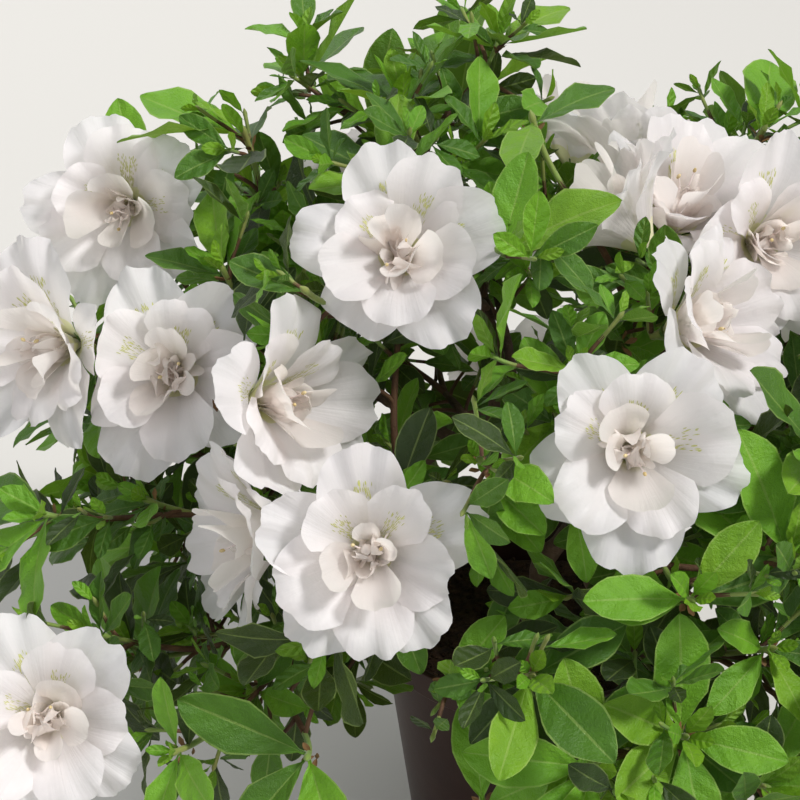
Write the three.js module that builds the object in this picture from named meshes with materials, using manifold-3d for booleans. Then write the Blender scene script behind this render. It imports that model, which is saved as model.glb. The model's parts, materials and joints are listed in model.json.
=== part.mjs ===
// Potted azalea shrub with full double white blooms. Millimetres, +Z up.
// The origin is the centre of the pot's flat underside. -Y is the side with the most open blooms.
import * as THREE from "three";
import { mergeVertices } from "three/addons/utils/BufferGeometryUtils.js";
import Module from "manifold-3d";

const wasm = await Module();
wasm.setup();

// Clearance between two pieces that meet
const GAP = 0.3;

// Pot and soil
const POT_HEIGHT = 105;
const POT_TOP_RADIUS = 58;
const POT_FOOT_RADIUS = 42;
const POT_WALL = 2.4;
const POT_FLOOR = 3;
const RIM_HEIGHT = 11;
const RIM_STEP = 2;
const RIM_EDGE = 0.8;
const FOOT_EDGE = 1.5;
const POT_SIDES = 30;
const BAND_FOOT = POT_HEIGHT - RIM_HEIGHT;
const SOIL_DEPTH_BELOW_RIM = 11;
const SOIL_CROWN = 1.6;
const SOIL_SHOULDER = 0.6;
const SOIL_FLAT = 3;
const SOIL_TOP = POT_HEIGHT - SOIL_DEPTH_BELOW_RIM;
const POT_CLEARANCE = 2;

// Trunk: a flared foot on the soil, a short leaning stem and a fork with two prongs
const TRUNK_FOOT_RADIUS = 8.5;
const TRUNK_RADIUS = 4.3;
const FLARE_HEIGHT = 11;
const FLARE_LOBES = 5;
const LOBE_DEPTH = 0.12;
const FORK_HEIGHT = 36;
const TRUNK_LEAN = 3;
const TRUNK_SIDES = 10;
const PRONG_RADIUS = 3.5;
const PRONG_TIP_RADIUS = 2.7;
const PRONG_REACH = 19;
const PRONG_SWING = 4;
const PRONG_RISE = 36;
const PRONG_ROOT = 5;

// Crown: a broad dome round its heart, a little lower than it is wide
const HEART = new THREE.Vector3(0, 0, 150);
const CROWN_RADIUS = 150;
const CROWN_RISE = 146;
const CROWN_DROP = 60;
const MASS_FOOT_SHARE = 0.4;
const MASS_HEART_SHARE = 0.62;
const SPACE_MARGIN = 0.5;
const TIP_MARGIN = 2.5;
const TOP_MASS_RISE = 60;
const UPPER_MASS_RISE = 20;

// Foliage masses: name, bearing and rise in degrees seen from the crown's heart.
// Bearing 0 is +X, -90 is the front, and rise is measured up from level.
const MASSES = [
  ["top_right", -35, 70],
  ["top_left", 130, 66],
  ["upper_front_left", -131, 31],
  ["upper_front", -76, 36],
  ["upper_right", -18, 32],
  ["upper_back_right", 42, 32],
  ["upper_back", 100, 30],
  ["upper_left", 162, 28],
  ["lower_front_left", -143, -6],
  ["lower_front", -75, 0],
  ["lower_right", -10, -4],
  ["lower_back_right", 55, -4],
  ["lower_back", 110, -4],
  ["lower_left", 165, -4],
];

// Open blooms of the front: bearing, rise and reach of the face, then the way it faces
const FRONT_BLOOMS = [
  [-131, 59, 147, -95, 34],
  [-163, 29, 149, -98, 30],
  [-136, 37, 139, -42, 18],
  [-139, 17, 140, -155, 6],
  [-115, 23, 149, -92, 28],
  [-80, 37, 149, -88, 28],
  [-54, 52, 138, -35, 30],
  [-23, 56, 140, -70, 25],
  [-13, 70, 134, -50, 68],
  [-57, 77, 131, 155, 42],
  [45, 69, 131, 70, 50],
  [170, 34, 178, -100, 20],
  [-170, 24, 187, -125, 18],
  [-141, 0, 203, -88, 34],
];

// Leafy shoots of the front: bearing, rise, reach, then leaf length
const FRONT_SHOOTS = [
  [143, 66, 147, 41],
  [-140, 87, 146, 37],
  [163, 50, 164, 41],
  [141, 51, 169, 36],
  [103, 66, 160, 38],
  [-173, 42, 144, 32],
  [-107, 64, 141, 40],
  [-157, 12, 179, 39],
  [-147, 3, 173, 24],
  [-131, -2, 178, 29],
  [-135, -5, 136, 25],
  [-104, 36, 149, 34],
  [-102, 34, 129, 26],
  [-94, 12, 150, 42],
  [-75, 20, 150, 38],
  [-76, 3, 150, 36],
  [-61, 22, 149, 40],
  [-88, 48, 143, 22],
  [-90, 44, 122, 30],
  [-140, 49, 153, 33],
  [-79, -8, 134, 26],
  [-63, 10, 141, 27],
  [-158, 13, 144, 26],
];

// Leafy shoots that fill the crown's top and its back left
const FILLING_SHOOTS = [
  [-170, 68, 139, 34],
  [150, 8, 150, 38],
  [128, -3, 146, 36],
  [178, 2, 150, 38],
  [88, 10, 148, 36],
  [139, 12, 140, 40],
  [137, -6, 125, 36],
];

// The rest of the crown is dealt out evenly by the golden angle
const GOLDEN_ANGLE = 137.508;
const OUTER_SHOOTS = 100;
const INNER_SHOOTS = 24;
const INNER_SHARE = 0.68;
const LOWEST_RISE = -17;
const LAYER_TURN = 40;
const LEAST_REACH = 0.93;
const REACH_SPREAD = 0.14;
const BLOOM_EVERY = 4;
const BLOOM_LIFT = 0.35;
const SHOOT_SPACING = 27;
const SHOOT_DROP_BELOW_RIM = 12;
const SHOOT_LIFT = 0.67;
const BLOOM_SPACING = 56;
const LEAVES_TO_BLOOM = 33;
const LEAVES_TO_FRONT_BLOOM = 44;
const FRONT_EDGE = 82;
const FRONT_DEPTH = 24;
const OUTER_LEAF = 38;
const INNER_LEAF = 30;
const LEAST_LEAF = 0.85;
const LEAF_SPREAD = 0.3;
const LEAVES_PER_LISTED_SHOOT = 6;
const LEAVES_PER_SHOOT = 5;
const LEAVES_PER_INNER_SHOOT = 4;
const LEAVES_PER_BLOOM = 3;

// Leaves: shares are of a leaf's length, and angles are in degrees
const LEAF_WIDTH_SHARE = 0.5;
const LEAF_WIDEST = 0.56;
const LEAF_FOLD = 0.3;
const LEAF_DROOP = 0.1;
const TURN_JITTER = 16;
const SHOOT_LEAF_ANGLES = [50, 82];
const CALYX_LEAF_ANGLES = [75, 100];
const SMALLEST_SHARE = 0.78;
const SIZE_SPREAD = 0.27;
const SECTOR_SHARE = 0.42;
const LEAF_MIDDLE = 0.55;
const LEAF_NECK = 0.3;
const WHORL_NOTCH = 2.2;
const WHORL_TOP = 1.6;
const WHORL_FOOT = 2.6;
const CALYX_STEP = 7;
const LEAF_APART = 13;

// Blooms: heights are measured along the bloom's axis from its face
const BLOOM_CLEARANCE = 27;
const PETALS = 5;
const BLOOM_RADIUS = 36;
const INNER_RADIUS = 21;
const BLOOM_NOTCH = 0.62;
const BLOOM_DEPTH = 27;
const BLOOM_RUFFLE = 3;
const CENTRE_LIFT = 5;
const INNER_LIFT = 9;
const INNER_NOTCH_LIFT = 3;
const NOTCH_DROP = 4;
const THROAT_RADIUS = 6.5;
const THROAT_DEPTH = 15;
const TIP_SUNK = 3;
const BLOOM_TURN = 0.8;
const DRAWS = 14;
const DRAW = 0.1;

// Twigs: shares are of the twig's length
const STEM_RADIUS = 1.9;
const TWIG_RADIUS = 1.35;
const TWIG_TIP_RADIUS = 0.95;
const SIDE_TWIG_RADIUS = 1.1;
const SHORT_TWIG = 24;
const STEM_JOINTS = [0.35, 0.6, 0.8, 1];
const TWIG_JOINTS = [0.4, 0.65];
const TRIED_PLACES = [0.3, 0.5, 0.7, 0.9, 1];
const TURN_COST = 0.5;
const LEVEL_COST = 6;
const NUDGES = 6;
const NUDGE = 0.03;

// Boughs
const BOUGH_RADIUS = 2.6;
const SIDE_BOUGH_RADIUS = 2.2;
const BOUGH_TIP_RADIUS = 1.9;
const BOUGH_SIDES = 6;
const BOUGH_STEPS = 5;
const FIRST_BOUGH = 0.34;
const LAST_BOUGH = 0.84;
const SIDE_BOUGH = 0.42;
const LIMB_CLEARANCE = 2.2;
const LIMB_SECTIONS = 16;

const POT_COLOUR = "#3a2620";
const SOIL_COLOUR = "#8d7a63";
const BARK_COLOUR = "#4a382c";
const LEAF_COLOUR = "#4d7f2c";

// Repeatable random numbers from 0 to 1
function seededRandom(seed) {
  let state = seed >>> 0;
  return () => {
    state = (state + 0x6d2b79f5) >>> 0;
    let mixed = state;
    mixed = Math.imul(mixed ^ (mixed >>> 15), mixed | 1);
    mixed ^= mixed + Math.imul(mixed ^ (mixed >>> 7), mixed | 61);
    return ((mixed ^ (mixed >>> 14)) >>> 0) / 4294967296;
  };
}

function way(bearing, rise) {
  const b = THREE.MathUtils.degToRad(bearing);
  const r = THREE.MathUtils.degToRad(rise);
  return new THREE.Vector3(Math.cos(b) * Math.cos(r), Math.sin(b) * Math.cos(r), Math.sin(r));
}

function along(start, direction, distance) {
  return start.clone().addScaledVector(direction, distance);
}

// Distance from the crown's heart to the dome, in a given direction
function crownReach(direction) {
  const height = direction.z > 0 ? CROWN_RISE : CROWN_DROP;
  return 1 / Math.hypot(Math.hypot(direction.x, direction.y) / CROWN_RADIUS, direction.z / height);
}

// A smooth curve that leaves one place in one direction and reaches another in a second
function bend(start, startWay, end, endWay) {
  const third = start.distanceTo(end) / 3;
  return new THREE.CubicBezierCurve3(
    start,
    along(start, startWay, third),
    along(end, endWay, -third),
    end,
  );
}

// Closed geometry and solids
function closed(geometry) {
  geometry.deleteAttribute("normal");
  geometry.deleteAttribute("uv");
  return mergeVertices(geometry, 1e-4);
}

function toSolid(geometry) {
  const merged = closed(geometry);
  return new wasm.Manifold(
    new wasm.Mesh({
      numProp: 3,
      vertProperties: merged.attributes.position.array,
      triVerts: new Uint32Array(merged.index.array),
    }),
  );
}

function toGeometry(solid) {
  const mesh = solid.getMesh();
  const geometry = new THREE.BufferGeometry();
  geometry.setAttribute("position", new THREE.BufferAttribute(mesh.vertProperties, 3));
  geometry.setIndex(new THREE.BufferAttribute(mesh.triVerts, 1));
  geometry.computeVertexNormals();
  return geometry;
}

function reshape(geometry, move) {
  const places = geometry.attributes.position;
  const place = new THREE.Vector3();
  for (let i = 0; i < places.count; i++) {
    place.fromBufferAttribute(places, i);
    const moved = move(place);
    places.setXYZ(i, moved.x, moved.y, moved.z);
  }
  return geometry;
}

// A tapering limb: a cylinder bent along a curve, with its radius given along its length
function limbGeometry(curve, steps, sides, radiusAt) {
  const frames = curve.computeFrenetFrames(steps, false);
  const spine = curve.getSpacedPoints(steps);
  return reshape(new THREE.CylinderGeometry(1, 1, 1, sides, steps), (p) => {
    const row = Math.round((p.y + 0.5) * steps);
    const radius = radiusAt(row / steps, Math.atan2(p.z, p.x));
    const aside = along(spine[row], frames.normals[row], p.x * radius);
    return along(aside, frames.binormals[row], -p.z * radius);
  });
}

function taper(from, to) {
  return (t) => THREE.MathUtils.lerp(from, to, t);
}

function turned(profile, sides) {
  const outline = profile.map(([x, y]) => new THREE.Vector2(x, y));
  return new THREE.LatheGeometry(outline, sides).rotateX(Math.PI / 2);
}

// Outside radius of the pot's wall, under its rim band
function wallRadius(z) {
  return THREE.MathUtils.lerp(POT_FOOT_RADIUS, POT_TOP_RADIUS - RIM_STEP, z / POT_HEIGHT);
}

// Pot: a tapered wall with a stepped rim band, on a flat solid underside
function potGeometry() {
  return turned(
    [
      [0, 0],
      [POT_FOOT_RADIUS - FOOT_EDGE, 0],
      [POT_FOOT_RADIUS, FOOT_EDGE],
      [wallRadius(BAND_FOOT), BAND_FOOT],
      [POT_TOP_RADIUS - RIM_EDGE, BAND_FOOT + RIM_EDGE],
      [POT_TOP_RADIUS, POT_HEIGHT - RIM_EDGE],
      [POT_TOP_RADIUS - RIM_EDGE, POT_HEIGHT],
      [POT_TOP_RADIUS - POT_WALL, POT_HEIGHT],
      [wallRadius(BAND_FOOT) - POT_WALL, BAND_FOOT - RIM_STEP],
      [wallRadius(POT_FLOOR) - POT_WALL, POT_FLOOR],
      [0, POT_FLOOR],
    ],
    POT_SIDES,
  );
}

// Soil: fills the pot to just under its rim, a little higher round the stem
function soilGeometry() {
  const floor = POT_FLOOR + GAP;
  const edge = SOIL_TOP - SOIL_CROWN;
  const edgeRadius = wallRadius(edge) - POT_WALL - GAP;
  return turned(
    [
      [0, floor],
      [wallRadius(POT_FLOOR) - POT_WALL - GAP, floor],
      [edgeRadius, edge],
      [edgeRadius * SOIL_SHOULDER, SOIL_TOP - SOIL_CROWN * SOIL_SHOULDER / 2],
      [TRUNK_FOOT_RADIUS + SOIL_FLAT, SOIL_TOP],
      [0, SOIL_TOP],
    ],
    POT_SIDES,
  );
}

// Trunk
const TRUNK_FOOT = new THREE.Vector3(0, 0, SOIL_TOP + GAP);
const FORK = new THREE.Vector3(TRUNK_LEAN, 0, SOIL_TOP + FORK_HEIGHT);
const UP = new THREE.Vector3(0, 0, 1);
const PRONG_SIDES = [-1, 1];

function prongCurve(side) {
  const tip = new THREE.Vector3(FORK.x + side * PRONG_REACH, -side * PRONG_SWING, FORK.z + PRONG_RISE);
  const leave = new THREE.Vector3(side * 0.6, 0, 0.8).normalize();
  const arrive = new THREE.Vector3(side * 0.25, 0, 1).normalize();
  return bend(along(FORK, UP, -PRONG_ROOT), leave, tip, arrive);
}

function trunkSolid(extra = 0) {
  const flare = (t, angle) => {
    const fade = Math.max(0, 1 - (t * FORK_HEIGHT) / FLARE_HEIGHT);
    const lobes = 1 + LOBE_DEPTH * fade * Math.cos(FLARE_LOBES * angle);
    const radius = THREE.MathUtils.lerp(TRUNK_RADIUS, TRUNK_RADIUS * 0.9, t);
    return (radius + (TRUNK_FOOT_RADIUS - TRUNK_RADIUS) * fade * fade) * lobes + extra;
  };
  const stem = bend(TRUNK_FOOT, UP, FORK, new THREE.Vector3(0.12, 0, 1).normalize());
  let solid = toSolid(limbGeometry(stem, 7, TRUNK_SIDES, flare));
  for (const side of PRONG_SIDES) {
    const radiusAt = taper(PRONG_RADIUS + extra, PRONG_TIP_RADIUS + extra);
    solid = solid.add(toSolid(limbGeometry(prongCurve(side), 4, BOUGH_SIDES, radiusAt)));
  }
  return solid;
}

// Plan of the masses: where each starts, where its heart is, and which way it grows
const masses = MASSES.map(([name, bearing, rise], index) => {
  const outward = way(bearing, rise);
  const reach = crownReach(outward);
  return {
    name,
    index,
    rise,
    outward,
    foot: along(HEART, outward, reach * MASS_FOOT_SHARE),
    heart: along(HEART, outward, reach * MASS_HEART_SHARE),
  };
});

function nearestMass(place) {
  let best = masses[0];
  for (const mass of masses)
    if (place.distanceTo(mass.heart) < place.distanceTo(best.heart)) best = mass;
  return best;
}

// How far a place lies inside a mass's own space; below 0 it is outside
function depthInSpace(place, mass) {
  let depth = Infinity;
  for (const other of masses) {
    if (other === mass) continue;
    const apart = other.heart.clone().sub(mass.heart);
    const half = apart.length() / 2;
    depth = Math.min(depth, half - place.clone().sub(mass.heart).dot(apart.normalize()));
  }
  return depth - SPACE_MARGIN;
}

// The angle between the bearings of two masses
function turnBetween(a, b) {
  return a.outward.clone().setZ(0).angleTo(b.outward.clone().setZ(0));
}

// Boughs: the upper ones leave the prongs, each lower one leaves the nearest upper one,
// and the two top ones go on from the prongs' tips
function boughPlan() {
  const plans = new Map();
  const upper = masses.filter((mass) => mass.rise > UPPER_MASS_RISE && mass.rise < TOP_MASS_RISE);
  const lower = masses.filter((mass) => mass.rise <= UPPER_MASS_RISE);
  for (const mass of masses.filter((m) => m.rise >= TOP_MASS_RISE)) {
    const side = mass.outward.x > 0 ? 1 : -1;
    const prong = prongCurve(side);
    const leave = prong.getTangent(1);
    const start = along(prong.getPoint(1), leave, GAP);
    plans.set(mass, { parent: null, curve: bend(start, leave, mass.foot, mass.outward) });
  }
  for (const side of PRONG_SIDES) {
    const prong = prongCurve(side);
    const own = upper.filter((mass) => Math.sign(mass.outward.x + 0.01) === side);
    own.forEach((mass, order) => {
      const t = THREE.MathUtils.lerp(FIRST_BOUGH, LAST_BOUGH, order / Math.max(1, own.length - 1));
      const start = prong.getPoint(t);
      const leave = mass.outward.clone().multiplyScalar(0.8).add(new THREE.Vector3(0, 0, 0.3)).normalize();
      plans.set(mass, { parent: "trunk", curve: bend(start, leave, mass.foot, mass.outward) });
    });
  }
  for (const mass of lower) {
    const parent = upper.reduce((a, b) => (turnBetween(b, mass) < turnBetween(a, mass) ? b : a));
    const start = plans.get(parent).curve.getPoint(SIDE_BOUGH);
    const leave = mass.outward.clone().add(new THREE.Vector3(0, 0, -0.35)).normalize();
    plans.set(mass, { parent, curve: bend(start, leave, mass.foot, mass.outward) });
  }
  return plans;
}

const boughs = boughPlan();

function boughRadius(mass, t) {
  const start = mass.rise > UPPER_MASS_RISE ? BOUGH_RADIUS : SIDE_BOUGH_RADIUS;
  return THREE.MathUtils.lerp(start, BOUGH_TIP_RADIUS, t);
}

function boughSolid(mass, extra = 0) {
  const { curve } = boughs.get(mass);
  return toSolid(limbGeometry(curve, BOUGH_STEPS, BOUGH_SIDES, (t) => boughRadius(mass, t) + extra));
}

// Each bough is cut back clear of the limb that carries it
function boughCut(mass) {
  const { parent } = boughs.get(mass);
  const solid = boughSolid(mass);
  if (!parent) return solid;
  return solid.subtract(parent === "trunk" ? trunkSolid(GAP) : boughSolid(parent, GAP));
}

// Limbs as rows of round sections, to keep leaves and twigs clear of them
function limbSections() {
  const sections = [];
  const add = (curve, radiusAt) => {
    for (let i = 0; i <= LIMB_SECTIONS; i++) {
      const t = i / LIMB_SECTIONS;
      sections.push([curve.getPoint(t), radiusAt(t)]);
    }
  };
  add(new THREE.LineCurve3(TRUNK_FOOT, FORK), () => TRUNK_RADIUS + GAP);
  for (const side of PRONG_SIDES) add(prongCurve(side), () => PRONG_RADIUS);
  for (const mass of masses) add(boughs.get(mass).curve, (t) => boughRadius(mass, t));
  return sections;
}

const limbs = limbSections();

function clearOfLimbs(place) {
  return limbs.every(([centre, radius]) => place.distanceTo(centre) > radius + LIMB_CLEARANCE);
}

function clearOfPot(place) {
  const radius = Math.hypot(place.x, place.y);
  return radius > POT_TOP_RADIUS + POT_CLEARANCE || place.z > POT_HEIGHT + POT_CLEARANCE;
}

function allowed(places, mass) {
  return places.every((p) => depthInSpace(p, mass) > 0 && clearOfPot(p) && clearOfLimbs(p));
}

// Shoots: the listed ones, then the rest dealt out over the dome
function shootPlan() {
  const shoots = [];
  for (const [bearing, rise, reach, faceBearing, faceRise] of FRONT_BLOOMS) {
    const place = along(HEART, way(bearing, rise), reach);
    shoots.push({ kind: "bloom", place, facing: way(faceBearing, faceRise) });
  }
  for (const [bearing, rise, reach, leaf] of [...FRONT_SHOOTS, ...FILLING_SHOOTS]) {
    const place = along(HEART, way(bearing, rise), reach);
    shoots.push({ kind: "leaves", place, leaf, count: LEAVES_PER_LISTED_SHOOT });
  }
  dealShoots(shoots, OUTER_SHOOTS, 1, 1);
  dealShoots(shoots, INNER_SHOOTS, INNER_SHARE, 2);
  return shoots;
}

// Deals shoots out by the golden angle, keeping them clear of those already there
function dealShoots(shoots, count, share, layer) {
  const random = seededRandom(500 + layer);
  const lowest = Math.sin(THREE.MathUtils.degToRad(LOWEST_RISE));
  for (let i = 0; i < count; i++) {
    const rise = THREE.MathUtils.radToDeg(Math.asin(1 - ((i + 0.5) / count) * (1 - lowest)));
    const outward = way(i * GOLDEN_ANGLE + layer * LAYER_TURN, rise);
    const reach = crownReach(outward) * share * (LEAST_REACH + REACH_SPREAD * random());
    const place = along(HEART, outward, reach);
    const inFront = place.x < FRONT_EDGE && place.y < FRONT_DEPTH;
    if (!clearOfPot(place) || place.z < POT_HEIGHT - SHOOT_DROP_BELOW_RIM) continue;
    const turnToOpen = layer === 1 && i % BLOOM_EVERY === 0 && !inFront;
    const open = turnToOpen && clearOfBlooms(shoots, place, BLOOM_SPACING);
    const distance = layer === 1 && inFront ? LEAVES_TO_FRONT_BLOOM : LEAVES_TO_BLOOM;
    if (!clearOfBlooms(shoots, place, distance)) continue;
    if (shoots.some((s) => s.kind === "leaves" && s.place.distanceTo(place) < SHOOT_SPACING)) continue;
    if (open) {
      const facing = along(outward, UP, BLOOM_LIFT).normalize();
      shoots.push({ kind: "bloom", place, facing });
      continue;
    }
    const leaf = (layer === 1 ? OUTER_LEAF : INNER_LEAF) * (LEAST_LEAF + LEAF_SPREAD * random());
    const leaves = layer === 1 ? LEAVES_PER_SHOOT : LEAVES_PER_INNER_SHOOT;
    shoots.push({ kind: "leaves", place, leaf, count: leaves });
  }
}

function clearOfBlooms(shoots, place, distance) {
  return !shoots.some((s) => s.kind === "bloom" && s.place.distanceTo(place) < distance);
}

// Where the twig of a shoot ends, and the way it points there
function shootTip(shoot) {
  if (shoot.kind === "bloom") {
    return { tip: along(shoot.place, shoot.facing, -BLOOM_DEPTH), axis: shoot.facing };
  }
  const outward = shoot.place.clone().sub(HEART).normalize();
  const axis = along(outward, UP, SHOOT_LIFT).normalize();
  return { tip: shoot.place.clone(), axis };
}

// Twigs of one mass: they branch from its stem, the nearest shoots first
function growTwigs(mass, shoots) {
  const boughEnd = boughs.get(mass).curve.getTangent(1);
  const start = along(mass.foot, boughEnd, GAP);
  const stem = bend(start, boughEnd, mass.heart, mass.outward);
  const twigs = [{ curve: stem, from: STEM_RADIUS, to: TWIG_RADIUS, steps: 2 }];
  const jointAt = (curve, t, level) => ({ place: curve.getPoint(t), tangent: curve.getTangent(t), level });
  const joints = STEM_JOINTS.map((t) => jointAt(stem, t, 0));
  const grown = [];
  const ordered = shoots.map((shoot) => ({ shoot, ...shootTip(shoot) }));
  for (const item of ordered) item.tip = drawnIn(item.tip, mass);
  ordered.sort((a, b) => a.tip.distanceTo(mass.heart) - b.tip.distanceTo(mass.heart));
  for (const { shoot, tip, axis } of ordered) {
    const joint = bestJoint(joints, tip);
    const toTip = tip.clone().sub(joint.place).normalize();
    const leave = joint.tangent.clone().multiplyScalar(0.6).add(toTip).normalize();
    let curve = bend(joint.place, leave, tip, toTip.add(axis).normalize());
    const free = () => allowed(TRIED_PLACES.map((t) => curve.getPoint(t)), mass);
    if (!free()) curve = new THREE.LineCurve3(joint.place, tip);
    if (!free()) continue;
    const from = joint.level ? SIDE_TWIG_RADIUS : TWIG_RADIUS;
    twigs.push({ curve, from, to: TWIG_TIP_RADIUS, steps: curve.getLength() > SHORT_TWIG ? 2 : 1 });
    for (const t of TWIG_JOINTS) joints.push(jointAt(curve, t, joint.level + 1));
    grown.push({ shoot, tip, axis });
  }
  return { twigs, grown };
}

// A tip that lies too near the edge of its mass's space is drawn in a little
function drawnIn(tip, mass) {
  const moved = tip.clone();
  for (let i = 0; i < DRAWS && depthInSpace(moved, mass) < TIP_MARGIN; i++) {
    moved.lerp(mass.heart, DRAW / 2);
  }
  return moved;
}

function bestJoint(joints, tip) {
  const cost = (joint) => {
    const toTip = tip.clone().sub(joint.place);
    const distance = toTip.length();
    const turn = 1 - toTip.normalize().dot(joint.tangent);
    return distance * (1 + TURN_COST * turn) + LEVEL_COST * joint.level;
  };
  return joints.reduce((a, b) => (cost(b) < cost(a) ? b : a));
}

// Two directions square to an axis, the first as near to straight up as it goes
function squareTo(axis) {
  const up = Math.abs(axis.z) > 0.97 ? new THREE.Vector3(0, 1, 0) : new THREE.Vector3(0, 0, 1);
  const raised = up.addScaledVector(axis, -up.dot(axis)).normalize();
  return [raised, new THREE.Vector3().crossVectors(raised, axis)];
}

// The leaves round the tip of one shoot, in order round its axis
function whorlLeaves(tip, axis, length, count, random, [least, most]) {
  const [raised, aside] = squareTo(axis);
  const start = random() * 360;
  return Array.from({ length: count }, (_, i) => {
    const turn = THREE.MathUtils.degToRad(start + (i * 360) / count + TURN_JITTER * (random() - 0.5));
    const spread = THREE.MathUtils.degToRad(THREE.MathUtils.lerp(least, most, random()));
    const size = length * (SMALLEST_SHARE + SIZE_SPREAD * random());
    const out = along(raised.clone().multiplyScalar(Math.cos(turn)), aside, Math.sin(turn));
    const direction = along(axis.clone().multiplyScalar(Math.cos(spread)), out, Math.sin(spread));
    const face = along(axis.clone().multiplyScalar(Math.sin(spread)), out, -Math.cos(spread));
    const ahead = new THREE.Vector3().crossVectors(axis, out).negate();
    const room = LEAF_WIDEST * size * Math.sin(spread) * Math.tan((SECTOR_SHARE * 2 * Math.PI) / count);
    const half = Math.min((size * LEAF_WIDTH_SHARE) / 2, room);
    return { root: tip, turn, direction, face, ahead, size, half };
  });
}

function leafPlace(leaf, share) {
  return along(leaf.root, leaf.direction, leaf.size * share);
}

// The corners of one leaf: its widest place on one side, its tip, its widest place on the other
function leafCorners({ root, direction, face, ahead, size, half }) {
  const widest = along(along(root, direction, LEAF_WIDEST * size), face, half * LEAF_FOLD);
  const end = along(along(root, direction, size), face, -LEAF_DROOP * size);
  return [along(widest, ahead, -half), end, along(widest, ahead, half)];
}

// Whorl: one solid star of leaves, thick at its middle, where the twig's end is sunk in it
function whorlGeometry(tip, axis, leaves) {
  const [raised, aside] = squareTo(axis);
  const rim = leaves.flatMap((leaf, i) => {
    const before = leaves[(i + leaves.length - 1) % leaves.length].turn - (i === 0 ? 2 * Math.PI : 0);
    const turn = (leaf.turn + before) / 2;
    const out = along(raised.clone().multiplyScalar(Math.cos(turn)), aside, Math.sin(turn));
    return [along(tip, out, WHORL_NOTCH), ...leafCorners(leaf)];
  });
  return reshape(new THREE.SphereGeometry(1, rim.length, 2), (p) => {
    if (Math.abs(p.y) > 0.5) return along(tip, axis, p.y > 0 ? WHORL_TOP : -WHORL_FOOT);
    const corner = Math.round((Math.atan2(p.z, p.x) / (2 * Math.PI)) * rim.length + rim.length);
    return rim[corner % rim.length].clone();
  });
}

// Bloom: one solid that widens from the calyx through the throat to five broad petals,
// and rises over them to an inner whorl whose lobes stand between the outer ones
function bloomGeometry(centre, axis, turn, mass, faces) {
  const [raised, aside] = squareTo(axis);
  const edges = PETALS * 3;
  const level = (out, lift) => ({ out: [out, out, out], lift: [lift, lift, lift] });
  const rows = [
    level(0, CENTRE_LIFT),
    {
      out: [INNER_RADIUS, INNER_RADIUS * BLOOM_NOTCH, INNER_RADIUS],
      lift: [INNER_LIFT, INNER_NOTCH_LIFT, INNER_LIFT],
    },
    {
      out: [BLOOM_RADIUS * BLOOM_NOTCH, BLOOM_RADIUS, BLOOM_RADIUS],
      lift: [-NOTCH_DROP, BLOOM_RUFFLE, -BLOOM_RUFFLE],
    },
    level(THROAT_RADIUS, -THROAT_DEPTH),
    level(0, -BLOOM_DEPTH - TIP_SUNK),
  ];
  return reshape(new THREE.SphereGeometry(1, edges, rows.length - 1), (p) => {
    const row = rows[Math.round((Math.acos(p.y) / Math.PI) * (rows.length - 1))];
    const angle = Math.atan2(p.z, p.x);
    const edge = Math.round((angle / (2 * Math.PI)) * edges + edges) % 3;
    const across = angle + turn;
    const outward = along(raised.clone().multiplyScalar(Math.cos(across)), aside, Math.sin(across));
    return fitted(centre, along(along(centre, axis, row.lift[edge]), outward, row.out[edge]), mass, faces);
  });
}

// A petal edge that would leave its mass's space, or cross to the near side of another bloom,
// is drawn in towards its own bloom's centre
function fitted(centre, place, mass, faces) {
  const moved = place.clone();
  const free = () => depthInSpace(moved, mass) > 0 && faces.every((face) => nearer(moved, centre, face));
  for (let i = 0; i < DRAWS && !free(); i++) moved.lerp(centre, DRAW);
  return moved;
}

function nearer(place, own, other) {
  return own === other || place.distanceTo(own) + SPACE_MARGIN < place.distanceTo(other);
}

// True when no two corners of a solid come within a thousandth of a millimetre
function cornersApart(solid) {
  const { vertProperties } = solid.getMesh();
  const seen = new Set();
  for (let i = 0; i < vertProperties.length; i += 3) {
    const [x, y, z] = vertProperties.subarray(i, i + 3).map((v) => Math.round(v * 1000));
    seen.add(x + "," + y + "," + z);
  }
  return seen.size === vertProperties.length / 3;
}

// Fuses a piece on, moved by a hair if its corners would fall on others, or else leaves it off
function fuse(solid, piece) {
  for (let i = 0; i < NUDGES; i++) {
    const joined = solid.add(piece.translate([i * NUDGE, -i * NUDGE, i * NUDGE]));
    if (cornersApart(joined)) return joined;
  }
  return solid;
}

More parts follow.
